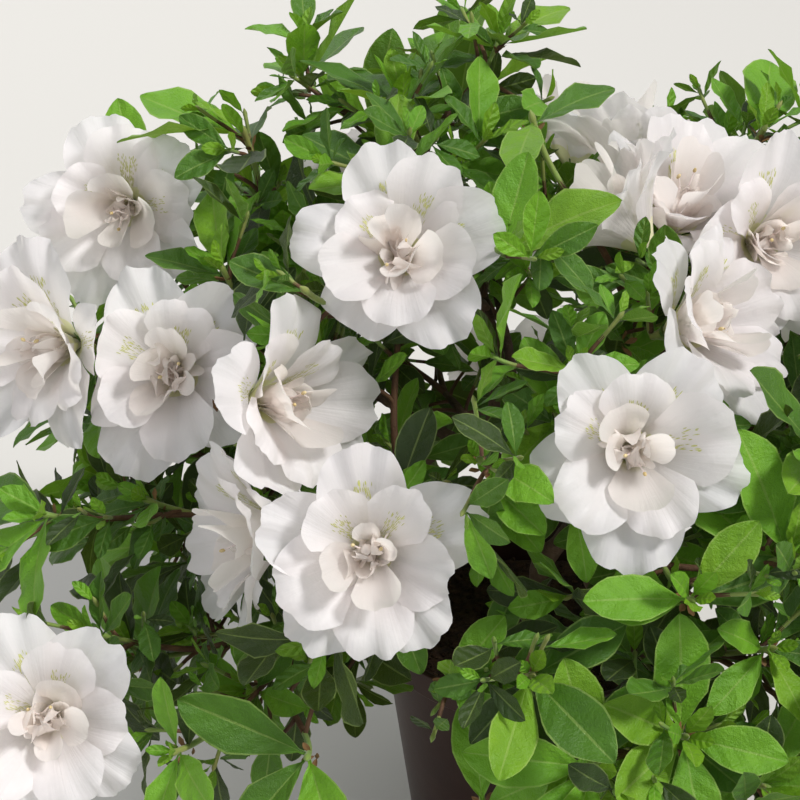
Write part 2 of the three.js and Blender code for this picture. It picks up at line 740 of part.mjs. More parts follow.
// One foliage mass: its twigs with leaves and blooms fused on as one solid
function massSolid(mass, shoots) {
  const { twigs, grown } = growTwigs(mass, shoots);
  const pieces = twigs.map((twig) => limbGeometry(twig.curve, twig.steps, 3, taper(twig.from, twig.to)));
  const middles = [];
  for (const item of grown) item.face = along(item.tip, item.axis, BLOOM_DEPTH);
  const faces = grown.filter(({ shoot }) => shoot.kind === "bloom").map(({ face }) => face);
  grown.forEach(({ shoot, tip, axis, face }, order) => {
    const random = seededRandom(1000 * (mass.index + 1) + order);
    const bloom = shoot.kind === "bloom";
    const neck = along(tip, axis, -CALYX_STEP);
    const whorl = bloom
      ? whorlLeaves(neck, axis, OUTER_LEAF, LEAVES_PER_BLOOM, random, CALYX_LEAF_ANGLES)
      : whorlLeaves(tip, axis, shoot.leaf, shoot.count, random, SHOOT_LEAF_ANGLES);
    const kept = whorl.filter((leaf) => {
      const middle = leafPlace(leaf, LEAF_MIDDLE);
      if (middles.some((other) => other.distanceTo(middle) < LEAF_APART)) return false;
      if (faces.some((other) => other.distanceTo(middle) < BLOOM_CLEARANCE)) return false;
      return allowed([...leafCorners(leaf), leafPlace(leaf, LEAF_NECK), middle], mass);
    });
    middles.push(...kept.map((leaf) => leafPlace(leaf, LEAF_MIDDLE)));
    if (kept.length) pieces.push(whorlGeometry(kept[0].root, axis, kept));
    if (bloom) pieces.push(bloomGeometry(face, axis, random() * BLOOM_TURN, mass, faces));
  });
  return largestBody(pieces.map(toSolid).reduce(fuse));
}

// Keeps the main body: a scrap is dropped, and a hollow sealed by fusing is filled
function largestBody(solid) {
  return solid.decompose().reduce((a, b) => (b.volume() > a.volume() ? b : a));
}

function named(name, geometry, color, roughness) {
  const mesh = new THREE.Mesh(geometry, new THREE.MeshStandardMaterial({ color, roughness, metalness: 0 }));
  mesh.name = name;
  return mesh;
}

const shrub = new THREE.Group();
shrub.add(named("pot", closed(potGeometry()), POT_COLOUR, 0.35));
shrub.add(named("soil", closed(soilGeometry()), SOIL_COLOUR, 0.95));
shrub.add(named("trunk", toGeometry(trunkSolid()), BARK_COLOUR, 0.85));
for (const mass of masses) {
  shrub.add(named("bough_" + mass.name, toGeometry(largestBody(boughCut(mass))), BARK_COLOUR, 0.85));
}
const shoots = shootPlan();
for (const mass of masses) {
  const own = shoots.filter((shoot) => nearestMass(shootTip(shoot).tip) === mass);
  shrub.add(named("foliage_" + mass.name, toGeometry(massSolid(mass, own)), LEAF_COLOUR, 0.6));
}

export default shrub;
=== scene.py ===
import json
import math

import bmesh
import bpy
import numpy as np
from mathutils import Matrix, Vector

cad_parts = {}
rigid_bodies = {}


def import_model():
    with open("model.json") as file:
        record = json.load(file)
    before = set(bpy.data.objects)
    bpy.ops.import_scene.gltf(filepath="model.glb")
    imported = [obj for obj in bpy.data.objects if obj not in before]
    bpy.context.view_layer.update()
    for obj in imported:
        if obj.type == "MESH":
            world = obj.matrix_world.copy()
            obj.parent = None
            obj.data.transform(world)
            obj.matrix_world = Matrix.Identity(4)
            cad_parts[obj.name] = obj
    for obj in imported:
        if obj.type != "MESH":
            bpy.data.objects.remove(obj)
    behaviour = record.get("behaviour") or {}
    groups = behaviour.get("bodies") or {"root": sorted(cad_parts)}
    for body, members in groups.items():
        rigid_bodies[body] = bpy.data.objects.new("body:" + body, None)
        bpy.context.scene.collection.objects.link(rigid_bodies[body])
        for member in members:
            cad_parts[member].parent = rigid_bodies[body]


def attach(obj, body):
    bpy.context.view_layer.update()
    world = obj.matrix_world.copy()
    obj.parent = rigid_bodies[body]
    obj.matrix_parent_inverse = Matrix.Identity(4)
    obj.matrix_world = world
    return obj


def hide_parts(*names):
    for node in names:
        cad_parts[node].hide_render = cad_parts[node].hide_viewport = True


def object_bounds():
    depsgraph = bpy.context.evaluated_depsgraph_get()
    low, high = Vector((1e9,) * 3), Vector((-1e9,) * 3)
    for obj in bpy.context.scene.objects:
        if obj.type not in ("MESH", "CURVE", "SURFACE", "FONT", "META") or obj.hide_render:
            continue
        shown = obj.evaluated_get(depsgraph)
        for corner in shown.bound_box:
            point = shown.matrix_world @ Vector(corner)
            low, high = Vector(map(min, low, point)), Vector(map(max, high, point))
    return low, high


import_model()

# Potted azalea shrub with full double white blooms: crown, wood, pot and soil in full detail.
# It grows by the rule of the part's source, in millimetres and degrees. Meshes are in metres.
CAD_BOX = [list(corner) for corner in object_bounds()]
MM = 0.001
BOX_MARGIN = 0.4
BOX_LOW = np.array(CAD_BOX[0]) / MM + BOX_MARGIN
BOX_HIGH = np.array(CAD_BOX[1]) / MM - BOX_MARGIN

# Clearance between two pieces that meet
GAP = 0.3

# Pot and soil
POT_HEIGHT = 105
POT_TOP_RADIUS = 58
POT_FOOT_RADIUS = 42
POT_WALL = 2.4
POT_FLOOR = 3
RIM_HEIGHT = 11
RIM_STEP = 2
BAND_FOOT = POT_HEIGHT - RIM_HEIGHT
SOIL_TOP = POT_HEIGHT - 11
SOIL_CROWN = 1.6
POT_CLEARANCE = 2
POT_SIDES = 128
# Radii of the pot's rounded corners, from the middle of its underside over the rim to its floor
POT_ROUNDINGS = (0.3, 0.3, 1.5, 0.6, 0.8, 0.9, 0.9, 1.5, 2)
MERGED = 1e-6

# Trunk and its fork
TRUNK_FOOT_RADIUS = 8.5
TRUNK_RADIUS = 4.3
FLARE_HEIGHT = 11
FLARE_LOBES = 5
LOBE_DEPTH = 0.12
FORK_HEIGHT = 36
TRUNK_LEAN = 3
PRONG_RADIUS = 3.5
PRONG_TIP_RADIUS = 2.7
PRONG_REACH = 19
PRONG_SWING = 4
PRONG_RISE = 36
PRONG_ROOT = 5

# Crown and the spaces of its masses
HEART = np.array([0.0, 0.0, 150.0])
CROWN_RADIUS = 150
CROWN_RISE = 146
CROWN_DROP = 60
MASS_FOOT_SHARE = 0.4
MASS_HEART_SHARE = 0.62
SPACE_MARGIN = 0.5
TIP_MARGIN = 2.5
TOP_MASS_RISE = 60
UPPER_MASS_RISE = 20
MASSES = [
    ("top_right", -35, 70),
    ("top_left", 130, 66),
    ("upper_front_left", -131, 31),
    ("upper_front", -76, 36),
    ("upper_right", -18, 32),
    ("upper_back_right", 42, 32),
    ("upper_back", 100, 30),
    ("upper_left", 162, 28),
    ("lower_front_left", -143, -6),
    ("lower_front", -75, 0),
    ("lower_right", -10, -4),
    ("lower_back_right", 55, -4),
    ("lower_back", 110, -4),
    ("lower_left", 165, -4),
]

# Open blooms of the front: bearing, rise and reach of the face, then the way it faces
FRONT_BLOOMS = [
    (-131, 59, 147, -95, 34),
    (-163, 29, 149, -98, 30),
    (-136, 37, 139, -42, 18),
    (-139, 17, 140, -155, 6),
    (-115, 23, 149, -92, 28),
    (-80, 37, 149, -88, 28),
    (-54, 52, 138, -35, 30),
    (-23, 56, 140, -70, 25),
    (-13, 70, 134, -50, 68),
    (-57, 77, 131, 155, 42),
    (45, 69, 131, 70, 50),
    (170, 34, 178, -100, 20),
    (-170, 24, 187, -125, 18),
    (-141, 0, 203, -88, 34),
]

# Leafy shoots of the front, then those that fill the top and the back left:
# bearing, rise, reach, then leaf length
LISTED_SHOOTS = [
    (143, 66, 147, 41),
    (-140, 87, 146, 37),
    (163, 50, 164, 41),
    (141, 51, 169, 36),
    (103, 66, 160, 38),
    (-173, 42, 144, 32),
    (-107, 64, 141, 40),
    (-157, 12, 179, 39),
    (-147, 3, 173, 24),
    (-131, -2, 178, 29),
    (-135, -5, 136, 25),
    (-104, 36, 149, 34),
    (-102, 34, 129, 26),
    (-94, 12, 150, 42),
    (-75, 20, 150, 38),
    (-76, 3, 150, 36),
    (-61, 22, 149, 40),
    (-88, 48, 143, 22),
    (-90, 44, 122, 30),
    (-140, 49, 153, 33),
    (-79, -8, 134, 26),
    (-63, 10, 141, 27),
    (-158, 13, 144, 26),
    (-170, 68, 139, 34),
    (150, 8, 150, 38),
    (128, -3, 146, 36),
    (178, 2, 150, 38),
    (88, 10, 148, 36),
    (139, 12, 140, 40),
    (137, -6, 125, 36),
]

# The rest of the crown's shoots
GOLDEN_ANGLE = 137.508
OUTER_SHOOTS = 100
INNER_SHOOTS = 24
INNER_SHARE = 0.68
LOWEST_RISE = -17
LAYER_TURN = 40
LEAST_REACH = 0.93
REACH_SPREAD = 0.14
BLOOM_EVERY = 4
BLOOM_LIFT = 0.35
SHOOT_SPACING = 27
SHOOT_DROP_BELOW_RIM = 12
SHOOT_LIFT = 0.67
BLOOM_SPACING = 56
LEAVES_TO_BLOOM = 33
LEAVES_TO_FRONT_BLOOM = 44
FRONT_EDGE = 82
FRONT_DEPTH = 24
OUTER_LEAF = 38
INNER_LEAF = 30
LEAST_LEAF = 0.85
LEAF_SPREAD = 0.3
LEAVES_PER_LISTED_SHOOT = 6
LEAVES_PER_SHOOT = 5
LEAVES_PER_INNER_SHOOT = 4
LEAVES_PER_BLOOM = 3

# Leaves of the solids, whose places the finished leaves take
LEAF_WIDTH_SHARE = 0.5
LEAF_WIDEST = 0.56
LEAF_FOLD = 0.3
LEAF_DROOP = 0.1
TURN_JITTER = 16
SHOOT_LEAF_ANGLES = (50, 82)
CALYX_LEAF_ANGLES = (75, 100)
SMALLEST_SHARE = 0.78
SIZE_SPREAD = 0.27
SECTOR_SHARE = 0.42
LEAF_MIDDLE = 0.55
LEAF_NECK = 0.3
CALYX_STEP = 7
LEAF_APART = 13
BLOOM_CLEARANCE = 27
BLOOM_DEPTH = 27
BLOOM_RADIUS = 36
BLOOM_TURN = 0.8
PETALS = 5
DRAWS = 14
DRAW = 0.1

# Twigs and boughs
STEM_RADIUS = 1.9
TWIG_RADIUS = 1.35
TWIG_TIP_RADIUS = 0.95
SIDE_TWIG_RADIUS = 1.1
STEM_JOINTS = (0.35, 0.6, 0.8, 1)
TWIG_JOINTS = (0.4, 0.65)
TRIED_PLACES = (0.3, 0.5, 0.7, 0.9, 1)
TURN_COST = 0.5
LEVEL_COST = 6
BOUGH_RADIUS = 2.6
SIDE_BOUGH_RADIUS = 2.2
BOUGH_TIP_RADIUS = 1.9
FIRST_BOUGH = 0.34
LAST_BOUGH = 0.84
SIDE_BOUGH = 0.42
LIMB_CLEARANCE = 2.2
LIMB_SECTIONS = 16

UP = np.array([0.0, 0.0, 1.0])
TRUNK_FOOT = np.array([0.0, 0.0, SOIL_TOP + GAP])
FORK = np.array([TRUNK_LEAN, 0.0, SOIL_TOP + FORK_HEIGHT])
PRONG_SIDES = (-1, 1)
FOLIAGE_NODES = [f"foliage_{name}" for name, _, _ in MASSES]


def seeded_random(seed):
    """Repeatable random numbers from 0 to 1, the same as the source's own"""
    mask = 0xFFFFFFFF
    state = seed & mask

    def draw():
        nonlocal state
        state = (state + 0x6D2B79F5) & mask
        mixed = state
        mixed = ((mixed ^ (mixed >> 15)) * (mixed | 1)) & mask
        mixed ^= (mixed + (mixed ^ (mixed >> 7)) * (mixed | 61)) & mask
        return (mixed ^ (mixed >> 14)) / 4294967296

    return draw


def unit(v):
    return v / np.linalg.norm(v)


def way(bearing, rise):
    b, r = math.radians(bearing), math.radians(rise)
    return np.array([math.cos(b) * math.cos(r), math.sin(b) * math.cos(r), math.sin(r)])


def mix(a, b, share):
    return a + (b - a) * share


def swung(first, second, turn):
    """The direction that is turned from one direction towards another square to it"""
    return first * math.cos(turn) + second * math.sin(turn)


def crown_reach(direction):
    """Distance from the crown's heart to its dome, in a given direction"""
    height = CROWN_RISE if direction[2] > 0 else CROWN_DROP
    level = math.hypot(direction[0], direction[1]) / CROWN_RADIUS
    return 1 / math.hypot(level, direction[2] / height)


class Bend:
    """A smooth curve that leaves one place in one direction and reaches another in a second"""

    def __init__(self, start, start_way, end, end_way):
        third = np.linalg.norm(end - start) / 3
        self.corners = np.array([start, start + start_way * third, end - end_way * third, end])
        self.length = third * 3

    def place(self, t):
        s = 1 - t
        return np.array([s**3, 3 * s * s * t, 3 * s * t * t, t**3]) @ self.corners

    def tangent(self, t):
        step = 1e-4
        return unit(self.place(min(1, t + step)) - self.place(max(0, t - step)))


def straight(start, end):
    ahead = unit(end - start)
    return Bend(start, ahead, end, ahead)


class Mass:
    """One foliage mass: where it starts, where its heart is, and which way it grows"""

    def __init__(self, index, name, bearing, rise):
        self.index = index
        self.name = name
        self.rise = rise
        self.outward = way(bearing, rise)
        reach = crown_reach(self.outward)
        self.foot = HEART + self.outward * reach * MASS_FOOT_SHARE
        self.heart = HEART + self.outward * reach * MASS_HEART_SHARE


masses = [Mass(index, *entry) for index, entry in enumerate(MASSES)]
mass_hearts = np.array([mass.heart for mass in masses])


def nearest_mass(place):
    return masses[int(np.argmin(np.linalg.norm(mass_hearts - place, axis=1)))]


def depth_in_space(place, mass):
    """How far a place lies inside a mass's own space; below 0 it is outside"""
    apart = np.delete(mass_hearts, mass.index, 0) - mass.heart
    length = np.linalg.norm(apart, axis=1)
    return float(np.min(length / 2 - apart @ (place - mass.heart) / length)) - SPACE_MARGIN


def prong_curve(side):
    tip = np.array([FORK[0] + side * PRONG_REACH, -side * PRONG_SWING, FORK[2] + PRONG_RISE])
    leave = unit(np.array([side * 0.6, 0, 0.8]))
    arrive = unit(np.array([side * 0.25, 0, 1]))
    return Bend(FORK - UP * PRONG_ROOT, leave, tip, arrive)


def turn_between(a, b):
    flat_a, flat_b = unit(a.outward[:2]), unit(b.outward[:2])
    return math.acos(max(-1.0, min(1.0, float(flat_a @ flat_b))))


def bough_plan():
    """The upper boughs leave the prongs, each lower one leaves the nearest upper one,
    and the two top ones go on from the prongs' tips"""
    plans = {}
    upper = [m for m in masses if UPPER_MASS_RISE < m.rise < TOP_MASS_RISE]
    for mass in masses:
        if mass.rise >= TOP_MASS_RISE:
            prong = prong_curve(1 if mass.outward[0] > 0 else -1)
            leave = prong.tangent(1)
            plans[mass.index] = Bend(prong.place(1) + leave * GAP, leave, mass.foot, mass.outward)
    for side in PRONG_SIDES:
        own = [m for m in upper if np.sign(m.outward[0] + 0.01) == side]
        for order, mass in enumerate(own):
            t = mix(FIRST_BOUGH, LAST_BOUGH, order / max(1, len(own) - 1))
            leave = unit(mass.outward * 0.8 + UP * 0.3)
            plans[mass.index] = Bend(prong_curve(side).place(t), leave, mass.foot, mass.outward)
    for mass in masses:
        if mass.rise <= UPPER_MASS_RISE:
            parent = min(upper, key=lambda m: turn_between(m, mass))
            start = plans[parent.index].place(SIDE_BOUGH)
            leave = unit(mass.outward - UP * 0.35)
            plans[mass.index] = Bend(start, leave, mass.foot, mass.outward)
    return plans


boughs = bough_plan()


def bough_radius(mass, t):
    start = BOUGH_RADIUS if mass.rise > UPPER_MASS_RISE else SIDE_BOUGH_RADIUS
    return mix(start, BOUGH_TIP_RADIUS, t)


def limb_sections():
    """Limbs as rows of round sections, to keep leaves and twigs clear of them"""
    limbs = [(straight(TRUNK_FOOT, FORK), lambda t: TRUNK_RADIUS + GAP)]
    limbs += [(prong_curve(side), lambda t: PRONG_RADIUS) for side in PRONG_SIDES]
    limbs += [(boughs[mass.index], lambda t, mass=mass: bough_radius(mass, t)) for mass in masses]
    steps = [i / LIMB_SECTIONS for i in range(LIMB_SECTIONS + 1)]
    places = [curve.place(t) for curve, _ in limbs for t in steps]
    radii = [radius_at(t) for _, radius_at in limbs for t in steps]
    return np.array(places), np.array(radii)


limb_places, limb_radii = limb_sections()


def clear_of_limbs(place):
    apart = np.linalg.norm(limb_places - place, axis=1)
    return bool(np.all(apart > limb_radii + LIMB_CLEARANCE))


def clear_of_pot(place):
    outside = math.hypot(place[0], place[1]) > POT_TOP_RADIUS + POT_CLEARANCE
    return outside or place[2] > POT_HEIGHT + POT_CLEARANCE


def allowed(places, mass):
    return all(
        depth_in_space(p, mass) > 0 and clear_of_pot(p) and clear_of_limbs(p) for p in places
    )


class Shoot:
    """The end of a twig: an open bloom, or a rosette of leaves"""

    def __init__(self, place, facing=None, leaf=0.0, count=0):
        self.place = place
        self.facing = facing
        self.leaf = leaf
        self.count = count

    @property
    def bloom(self):
        return self.facing is not None

    def tip(self):
        if self.bloom:
            return self.place - self.facing * BLOOM_DEPTH, self.facing
        return self.place, unit(unit(self.place - HEART) + UP * SHOOT_LIFT)


def near(shoots, place, distance, blooms):
    return any(
        s.bloom == blooms and np.linalg.norm(s.place - place) < distance for s in shoots
    )


def deal_shoots(shoots, count, share, layer):
    """Deals shoots out by the golden angle, keeping them clear of those already there"""
    random = seeded_random(500 + layer)
    lowest = math.sin(math.radians(LOWEST_RISE))
    outer = layer == 1
    for i in range(count):
        rise = math.degrees(math.asin(1 - ((i + 0.5) / count) * (1 - lowest)))
        outward = way(i * GOLDEN_ANGLE + layer * LAYER_TURN, rise)
        reach = crown_reach(outward) * share * (LEAST_REACH + REACH_SPREAD * random())
        place = HEART + outward * reach
        in_front = place[0] < FRONT_EDGE and place[1] < FRONT_DEPTH
        if not clear_of_pot(place) or place[2] < POT_HEIGHT - SHOOT_DROP_BELOW_RIM:
            continue
        turn_to_open = outer and i % BLOOM_EVERY == 0 and not in_front
        opens = turn_to_open and not near(shoots, place, BLOOM_SPACING, True)
        distance = LEAVES_TO_FRONT_BLOOM if outer and in_front else LEAVES_TO_BLOOM
        if near(shoots, place, distance, True) or near(shoots, place, SHOOT_SPACING, False):
            continue
        if opens:
            shoots.append(Shoot(place, facing=unit(outward + UP * BLOOM_LIFT)))
            continue
        leaf = (OUTER_LEAF if outer else INNER_LEAF) * (LEAST_LEAF + LEAF_SPREAD * random())
        count_here = LEAVES_PER_SHOOT if outer else LEAVES_PER_INNER_SHOOT
        shoots.append(Shoot(place, leaf=leaf, count=count_here))


def shoot_plan():
    shoots = [
        Shoot(HEART + way(bearing, rise) * reach, facing=way(face_bearing, face_rise))
        for bearing, rise, reach, face_bearing, face_rise in FRONT_BLOOMS
    ]
    shoots += [
        Shoot(HEART + way(bearing, rise) * reach, leaf=leaf, count=LEAVES_PER_LISTED_SHOOT)
        for bearing, rise, reach, leaf in LISTED_SHOOTS
    ]
    deal_shoots(shoots, OUTER_SHOOTS, 1, 1)
    deal_shoots(shoots, INNER_SHOOTS, INNER_SHARE, 2)
    return shoots


def drawn_in(tip, mass):
    for _ in range(DRAWS):
        if depth_in_space(tip, mass) >= TIP_MARGIN:
            break
        tip = mix(tip, mass.heart, DRAW / 2)
    return tip


def best_joint(joints, tip):
    def cost(joint):
        to_tip = tip - joint[0]
        distance = np.linalg.norm(to_tip)
        turn = 1 - (to_tip / distance) @ joint[1]
        return distance * (1 + TURN_COST * turn) + LEVEL_COST * joint[2]

    return min(joints, key=cost)


class Grown:
    """A shoot that grew: its tip, the way it points, and the twig that carries it"""

    def __init__(self, shoot, tip, axis, mass, curve):
        self.shoot = shoot
        self.tip = tip
        self.axis = axis
        self.mass = mass
        self.curve = curve
        self.face = tip + axis * BLOOM_DEPTH


def grow_twigs(mass, shoots):
    """The stem of one mass and the twigs that branch from it, the nearest shoots first"""
    bough_end = boughs[mass.index].tangent(1)
    stem = Bend(mass.foot + bough_end * GAP, bough_end, mass.heart, mass.outward)
    joints = [(stem.place(t), stem.tangent(t), 0) for t in STEM_JOINTS]
    twigs, grown = [], []
    ordered = [(shoot, drawn_in(shoot.tip()[0], mass), shoot.tip()[1]) for shoot in shoots]
    ordered.sort(key=lambda entry: np.linalg.norm(entry[1] - mass.heart))
    for shoot, tip, axis in ordered:
        place, tangent, level = best_joint(joints, tip)
        to_tip = unit(tip - place)
        curve = Bend(place, unit(tangent * 0.6 + to_tip), tip, unit(to_tip + axis))
        if not allowed([curve.place(t) for t in TRIED_PLACES], mass):
            curve = straight(place, tip)
            if not allowed([curve.place(t) for t in TRIED_PLACES], mass):
                continue
        twigs.append((curve, SIDE_TWIG_RADIUS if level else TWIG_RADIUS, TWIG_TIP_RADIUS))
        joints += [(curve.place(t), curve.tangent(t), level + 1) for t in TWIG_JOINTS]
        grown.append(Grown(shoot, tip, axis, mass, curve))
    return stem, twigs, grown


def square_to(axis):
    """Two directions square to an axis, the first as near to straight up as it goes"""
    up = np.array([0.0, 1.0, 0.0]) if abs(axis[2]) > 0.97 else UP
    raised = unit(up - axis * (up @ axis))
    return raised, np.cross(raised, axis)


class Leaf:
    """One leaf: its root, the way it points, the way its upper side faces, and its length"""

    def __init__(self, root, direction, face, size, half=None):
        self.root = root
        self.direction = direction
        self.face = face
        self.size = size
        self.half = size * LEAF_WIDTH_SHARE / 2 if half is None else half

    def place(self, share):
        return self.root + self.direction * self.size * share

    def corners(self):
        ahead = np.cross(self.direction, self.face)
        widest = self.place(LEAF_WIDEST) + self.face * self.half * LEAF_FOLD
        end = self.place(1) - self.face * LEAF_DROOP * self.size
        return [widest - ahead * self.half, end, widest + ahead * self.half]


def spread_leaf(root, axis, out, spread, size, half=None):
    """A leaf that leans away from an axis by an angle, towards out"""
    direction = swung(axis, out, spread)
    face = axis * math.sin(spread) - out * math.cos(spread)
    return Leaf(root, direction, face, size, half)


def whorl_leaves(tip, axis, length, count, random, angles):
    """The leaves round the tip of one shoot, as the source places them"""
    raised, aside = square_to(axis)
    start = random() * 360
    leaves = []
    for i in range(count):
        turn = math.radians(start + i * 360 / count + TURN_JITTER * (random() - 0.5))
        spread = math.radians(mix(angles[0], angles[1], random()))
        size = length * (SMALLEST_SHARE + SIZE_SPREAD * random())
        out = swung(raised, aside, turn)
        sector = math.tan(SECTOR_SHARE * 2 * math.pi / count)
        room = LEAF_WIDEST * size * math.sin(spread) * sector
        half = min(size * LEAF_WIDTH_SHARE / 2, room)
        leaves.append(spread_leaf(tip, axis, out, spread, size, half))
    return leaves


# Finished leaves: shares of a leaf's length, and columns as shares of half its width there
STALK_SHARE = 0.07
STALK_HALF = 0.016
BLADE_HALF = 0.215
LEAF_STATIONS = (0, 0.07, 0.16, 0.27, 0.4, 0.53, 0.66, 0.77, 0.86, 0.93, 0.975, 1)
LEAF_COLUMNS = (-1, -0.93, -0.46, -0.05, 0.05, 0.46, 0.93, 1)
SMALL_STATIONS = (0, 0.08, 0.25, 0.45, 0.66, 0.84, 0.95, 1)
SMALL_COLUMNS = (-1, -0.5, -0.07, 0.07, 0.5, 1)
SMALL_LEAF = 19
RIB_GROOVE = 0.012
# Fold, droop, twist in degrees and wave of each kind of leaf
LEAF_KINDS = (
    (0.30, 0.08, 4, 0.10),
    (0.50, 0.16, -8, 0.16),
    (0.16, 0.24, 10, 0.20),
    (0.36, -0.04, -5, 0.14),
)

# Finer growth on the shoots of the solids. Shares are of a leaf's length, pairs are ranges
ROLL = 24
WIDTH_FROM = 0.9
WIDTH_SPREAD = 0.22
SIZE_RANGE = (0.8, 1.08)
# Share of the crown's reach beyond which leaves take lighter tones, as painted sunlight
PAINTED_SUNLIT_FROM = 0.8
LEAF_STEP = 0.6
SECOND_WHORL = 4
SECOND_WHORL_DROP = 4.5
SECOND_WHORL_ANGLES = (62, 96)
SECOND_WHORL_APART = 6
SECOND_WHORL_SHARE = 0.72
SPARSE_SHARE = 0.95
SPARSE_BELOW = 4
CALYX_LEAF = 0.8
CORE_LEAVES = 4
CORE_ANGLES = (14, 38)
CORE_SHARE = 0.42
CORE_LIFT = 1.5
CORE_APART = 3
SCALES_PER_SHOOT = 4
SCALE_LEAN = 48
SCALE_LENGTH = 4.5
FINE_TWIGS_AT = (0.34, 0.5, 0.66, 0.78, 0.9)
STEM_TWIGS_AT = (0.25, 0.35, 0.45, 0.55, 0.65, 0.75, 0.85, 0.95)
FINE_TWIG_LENGTH = (12, 25)
FINE_TWIG_TRIES = 4
FINE_TWIG_RADIUS = 0.8
FINE_LEAVES = 6
FINE_LEAF = (15, 27)
FINE_LEAF_ANGLES = (42, 84)
FINE_LEAF_APART = 5
BLADE_ROOM = 0.62
LEAF_TRIES = (1, 0.75, 0.55)
ROOT_RADIUS = 0.8
GAP_TRIES = 1500
GAP_SEED = 90
GAP_ROOM = 11.5
GAP_REACH = 42
GAP_TWIGS_AT = (0.3, 0.5, 0.7, 0.9)
GAP_DOME = (0.82, 0.99)
GAP_LEAF = (26, 36)
GAP_LEAF_ANGLES = (40, 84)
GREEN_FROM = 0.62
SHOOT_END_RADIUS = 1.05
BUD_RADIUS = 1.2
FINE_BUD_RADIUS = 0.8
# The stalk of a bloom: steps ahead of its twig's tip, and the radius at each
BLOOM_STALK = {-1: 1.1, 1.5: 1.5, 4: 2.3, 6: 2.5}

# Wood: its rings and sides, and its bark and voxels in metres. Then the soil
TRUNK_RINGS = 25
TRUNK_SIDES = 40
LIMB_STEPS = 14
LIMB_SIDES = 16
TWIG_SIDES = 7
STAMEN_SIDES = 5
BARK_RELIEF = {
    "Ridge Scale": 420.0,
    "Ridge Depth": 0.0011,
    "Knot Scale": 90.0,
    "Knot Depth": 0.0012,
}
WOOD_VOXEL = 0.0007
SOIL_RINGS = 40
SOIL_SIDES = 96
SOIL_SEED = 31
SOIL_WAVER = 1.2
SOIL_DEPTH = 12
CRUMBS = {"Density": 90000.0, "Smallest": 0.0005, "Largest": 0.0017, "Seed": 4}

# Petals: lengths, half widths as shares of the length, and the shares where their parts start
OUTER_PETAL = 36
INNER_PETAL = 26
INNER_SIZES = (0.85, 1.22)
PETAL_FOOT = 2.2
PETAL_SHOULDER = 0.5
PETAL_ROUND = 2.15
THROAT_END = 0.2
PETAL_ROOT = 25
# The two whorls: half width, rise, flare, then columns, rows of the foot and rows of the rest
OUTER_WHORL = (0.78, 0, 2.2, 31, 4, 16)
INNER_WHORL = (0.9, 5, 1.7, 25, 3, 13)
# Height of a petal's crimps and crease and the fray of its edge, then how often its rim turns
# up and down across it
CRIMP = 0.95
CREASE = 0.35
FRAY = 0.75
RUFFLES = 2.3
CRIMPS = 6.5
CRIMPED_PATCHES = 2.1
FRAYS = (2.9, 7.3)
# How softly petals give way to a neighbouring bloom
PRESS = 1.6

# Heart of a bloom, and the sepals behind it
HEART_PETALS = 4
HEART_PETAL = (9, 17)
HEART_HALF = (0.75, 1.15)
HEART_RISE = 6.5
HEART_FLARE = (1.1, 1.6)
HEART_FOOT = 0.1
LEAST_PETALOIDS = 6
MORE_PETALOIDS = 4
CENTRAL_PETALS = 6
PETALOID_ROOT = 21
STAMENS = 2
STAMEN_ROOT = 22
CALYX_DEPTH = 25
SEPAL = 8
SEPAL_LEAN = 30

# Flecks of the upper petals: the turn from the top that they reach to, and how many there are
FLECKED_TURN = 80
FLECKS_AT_TOP = 150
FLECKS_ASIDE = 60
FLECK_LIFT = 0.16

# The pieces of the blooms, each with its finish
BLOOM_PIECES = {
    "petals_outer": "petal_outer",
    "petals_inner": "petal_inner",
    "petals_heart": "petal_heart",
    "bloom_throats": "bloom_throat",
    "bloom_flecks": "bloom_fleck",
    "anthers": "anther",
}

# Space that blooms keep free of leaves: how far it reaches in front of a face, for most leaves and
# for those of the listed and dealt shoots, its half width among the petals and before them, the
# heights between which the petals are, and the foot and slope of the cone behind them
FRONT_ROOM = 45
PETAL_ROOM = 13
AMONG_PETALS = 33
BEFORE_PETALS = 29
PETALS_FROM = -7
PETALS_TO = 12
CONE_FOOT = 8
CONE_SLOPE = 0.6

# Gap of the crown's front through which the pot shows: bearings, and the height of its top
OPENING = (-128, -97)
OPENING_TOP = 160

# Tones of the leaves, dealt out by spray. Some sets paint light and shade: lighter tones for outer
# and upper leaves, darker ones for inner and lower leaves
TONES = ("deep", "mid", "bright", "young", "scale")
SECOND_TONES = ("mid", "deep", "bright")
CORE_TONES = ("young", "bright", "young")
TIP_TONES = ("young", "bright")
# Painted sunlight and painted shade: the first set for leaves out at the crown's dome, the second
# for those inside it
PAINTED_SUNLIT_TONES = ("bright", "bright", "mid", "bright", "mid", "young")
PAINTED_SHADE_TONES = ("deep", "mid", "deep", "mid", "deep")
# Painted shade: fine leaves low in the crown take the darker set, those higher up a lighter mix
HIGH_TONES = ("mid", "deep", "bright", "mid")
PAINTED_LOW_SHADE_TONES = ("deep", "mid", "deep", "mid")
PAINTED_SHADE_BELOW = 185


def colour(code):
    """A colour of six hexadecimal digits as the linear numbers that a shader takes"""
    parts = [int(code[i : i + 2], 16) / 255 for i in (0, 2, 4)]
    return tuple(((p + 0.055) / 1.055) ** 2.4 if p > 0.04045 else p / 12.92 for p in parts) + (1,)


# The whole plan of growth, worked out once
shoots = shoot_plan()
stems, twigs, grown = {}, [], []
for mass in masses:
    own = [shoot for shoot in shoots if nearest_mass(shoot.tip()[0]) is mass]
    stems[mass.index], mass_twigs, mass_grown = grow_twigs(mass, own)
    twigs += mass_twigs
    for order, item in enumerate(mass_grown):
        item.random = seeded_random(1000 * (mass.index + 1) + order)
    grown += mass_grown
open_blooms = [item for item in grown if item.shoot.bloom]
bloom_faces = np.array([item.face for item in open_blooms])
bloom_axes = np.array([item.axis for item in open_blooms])


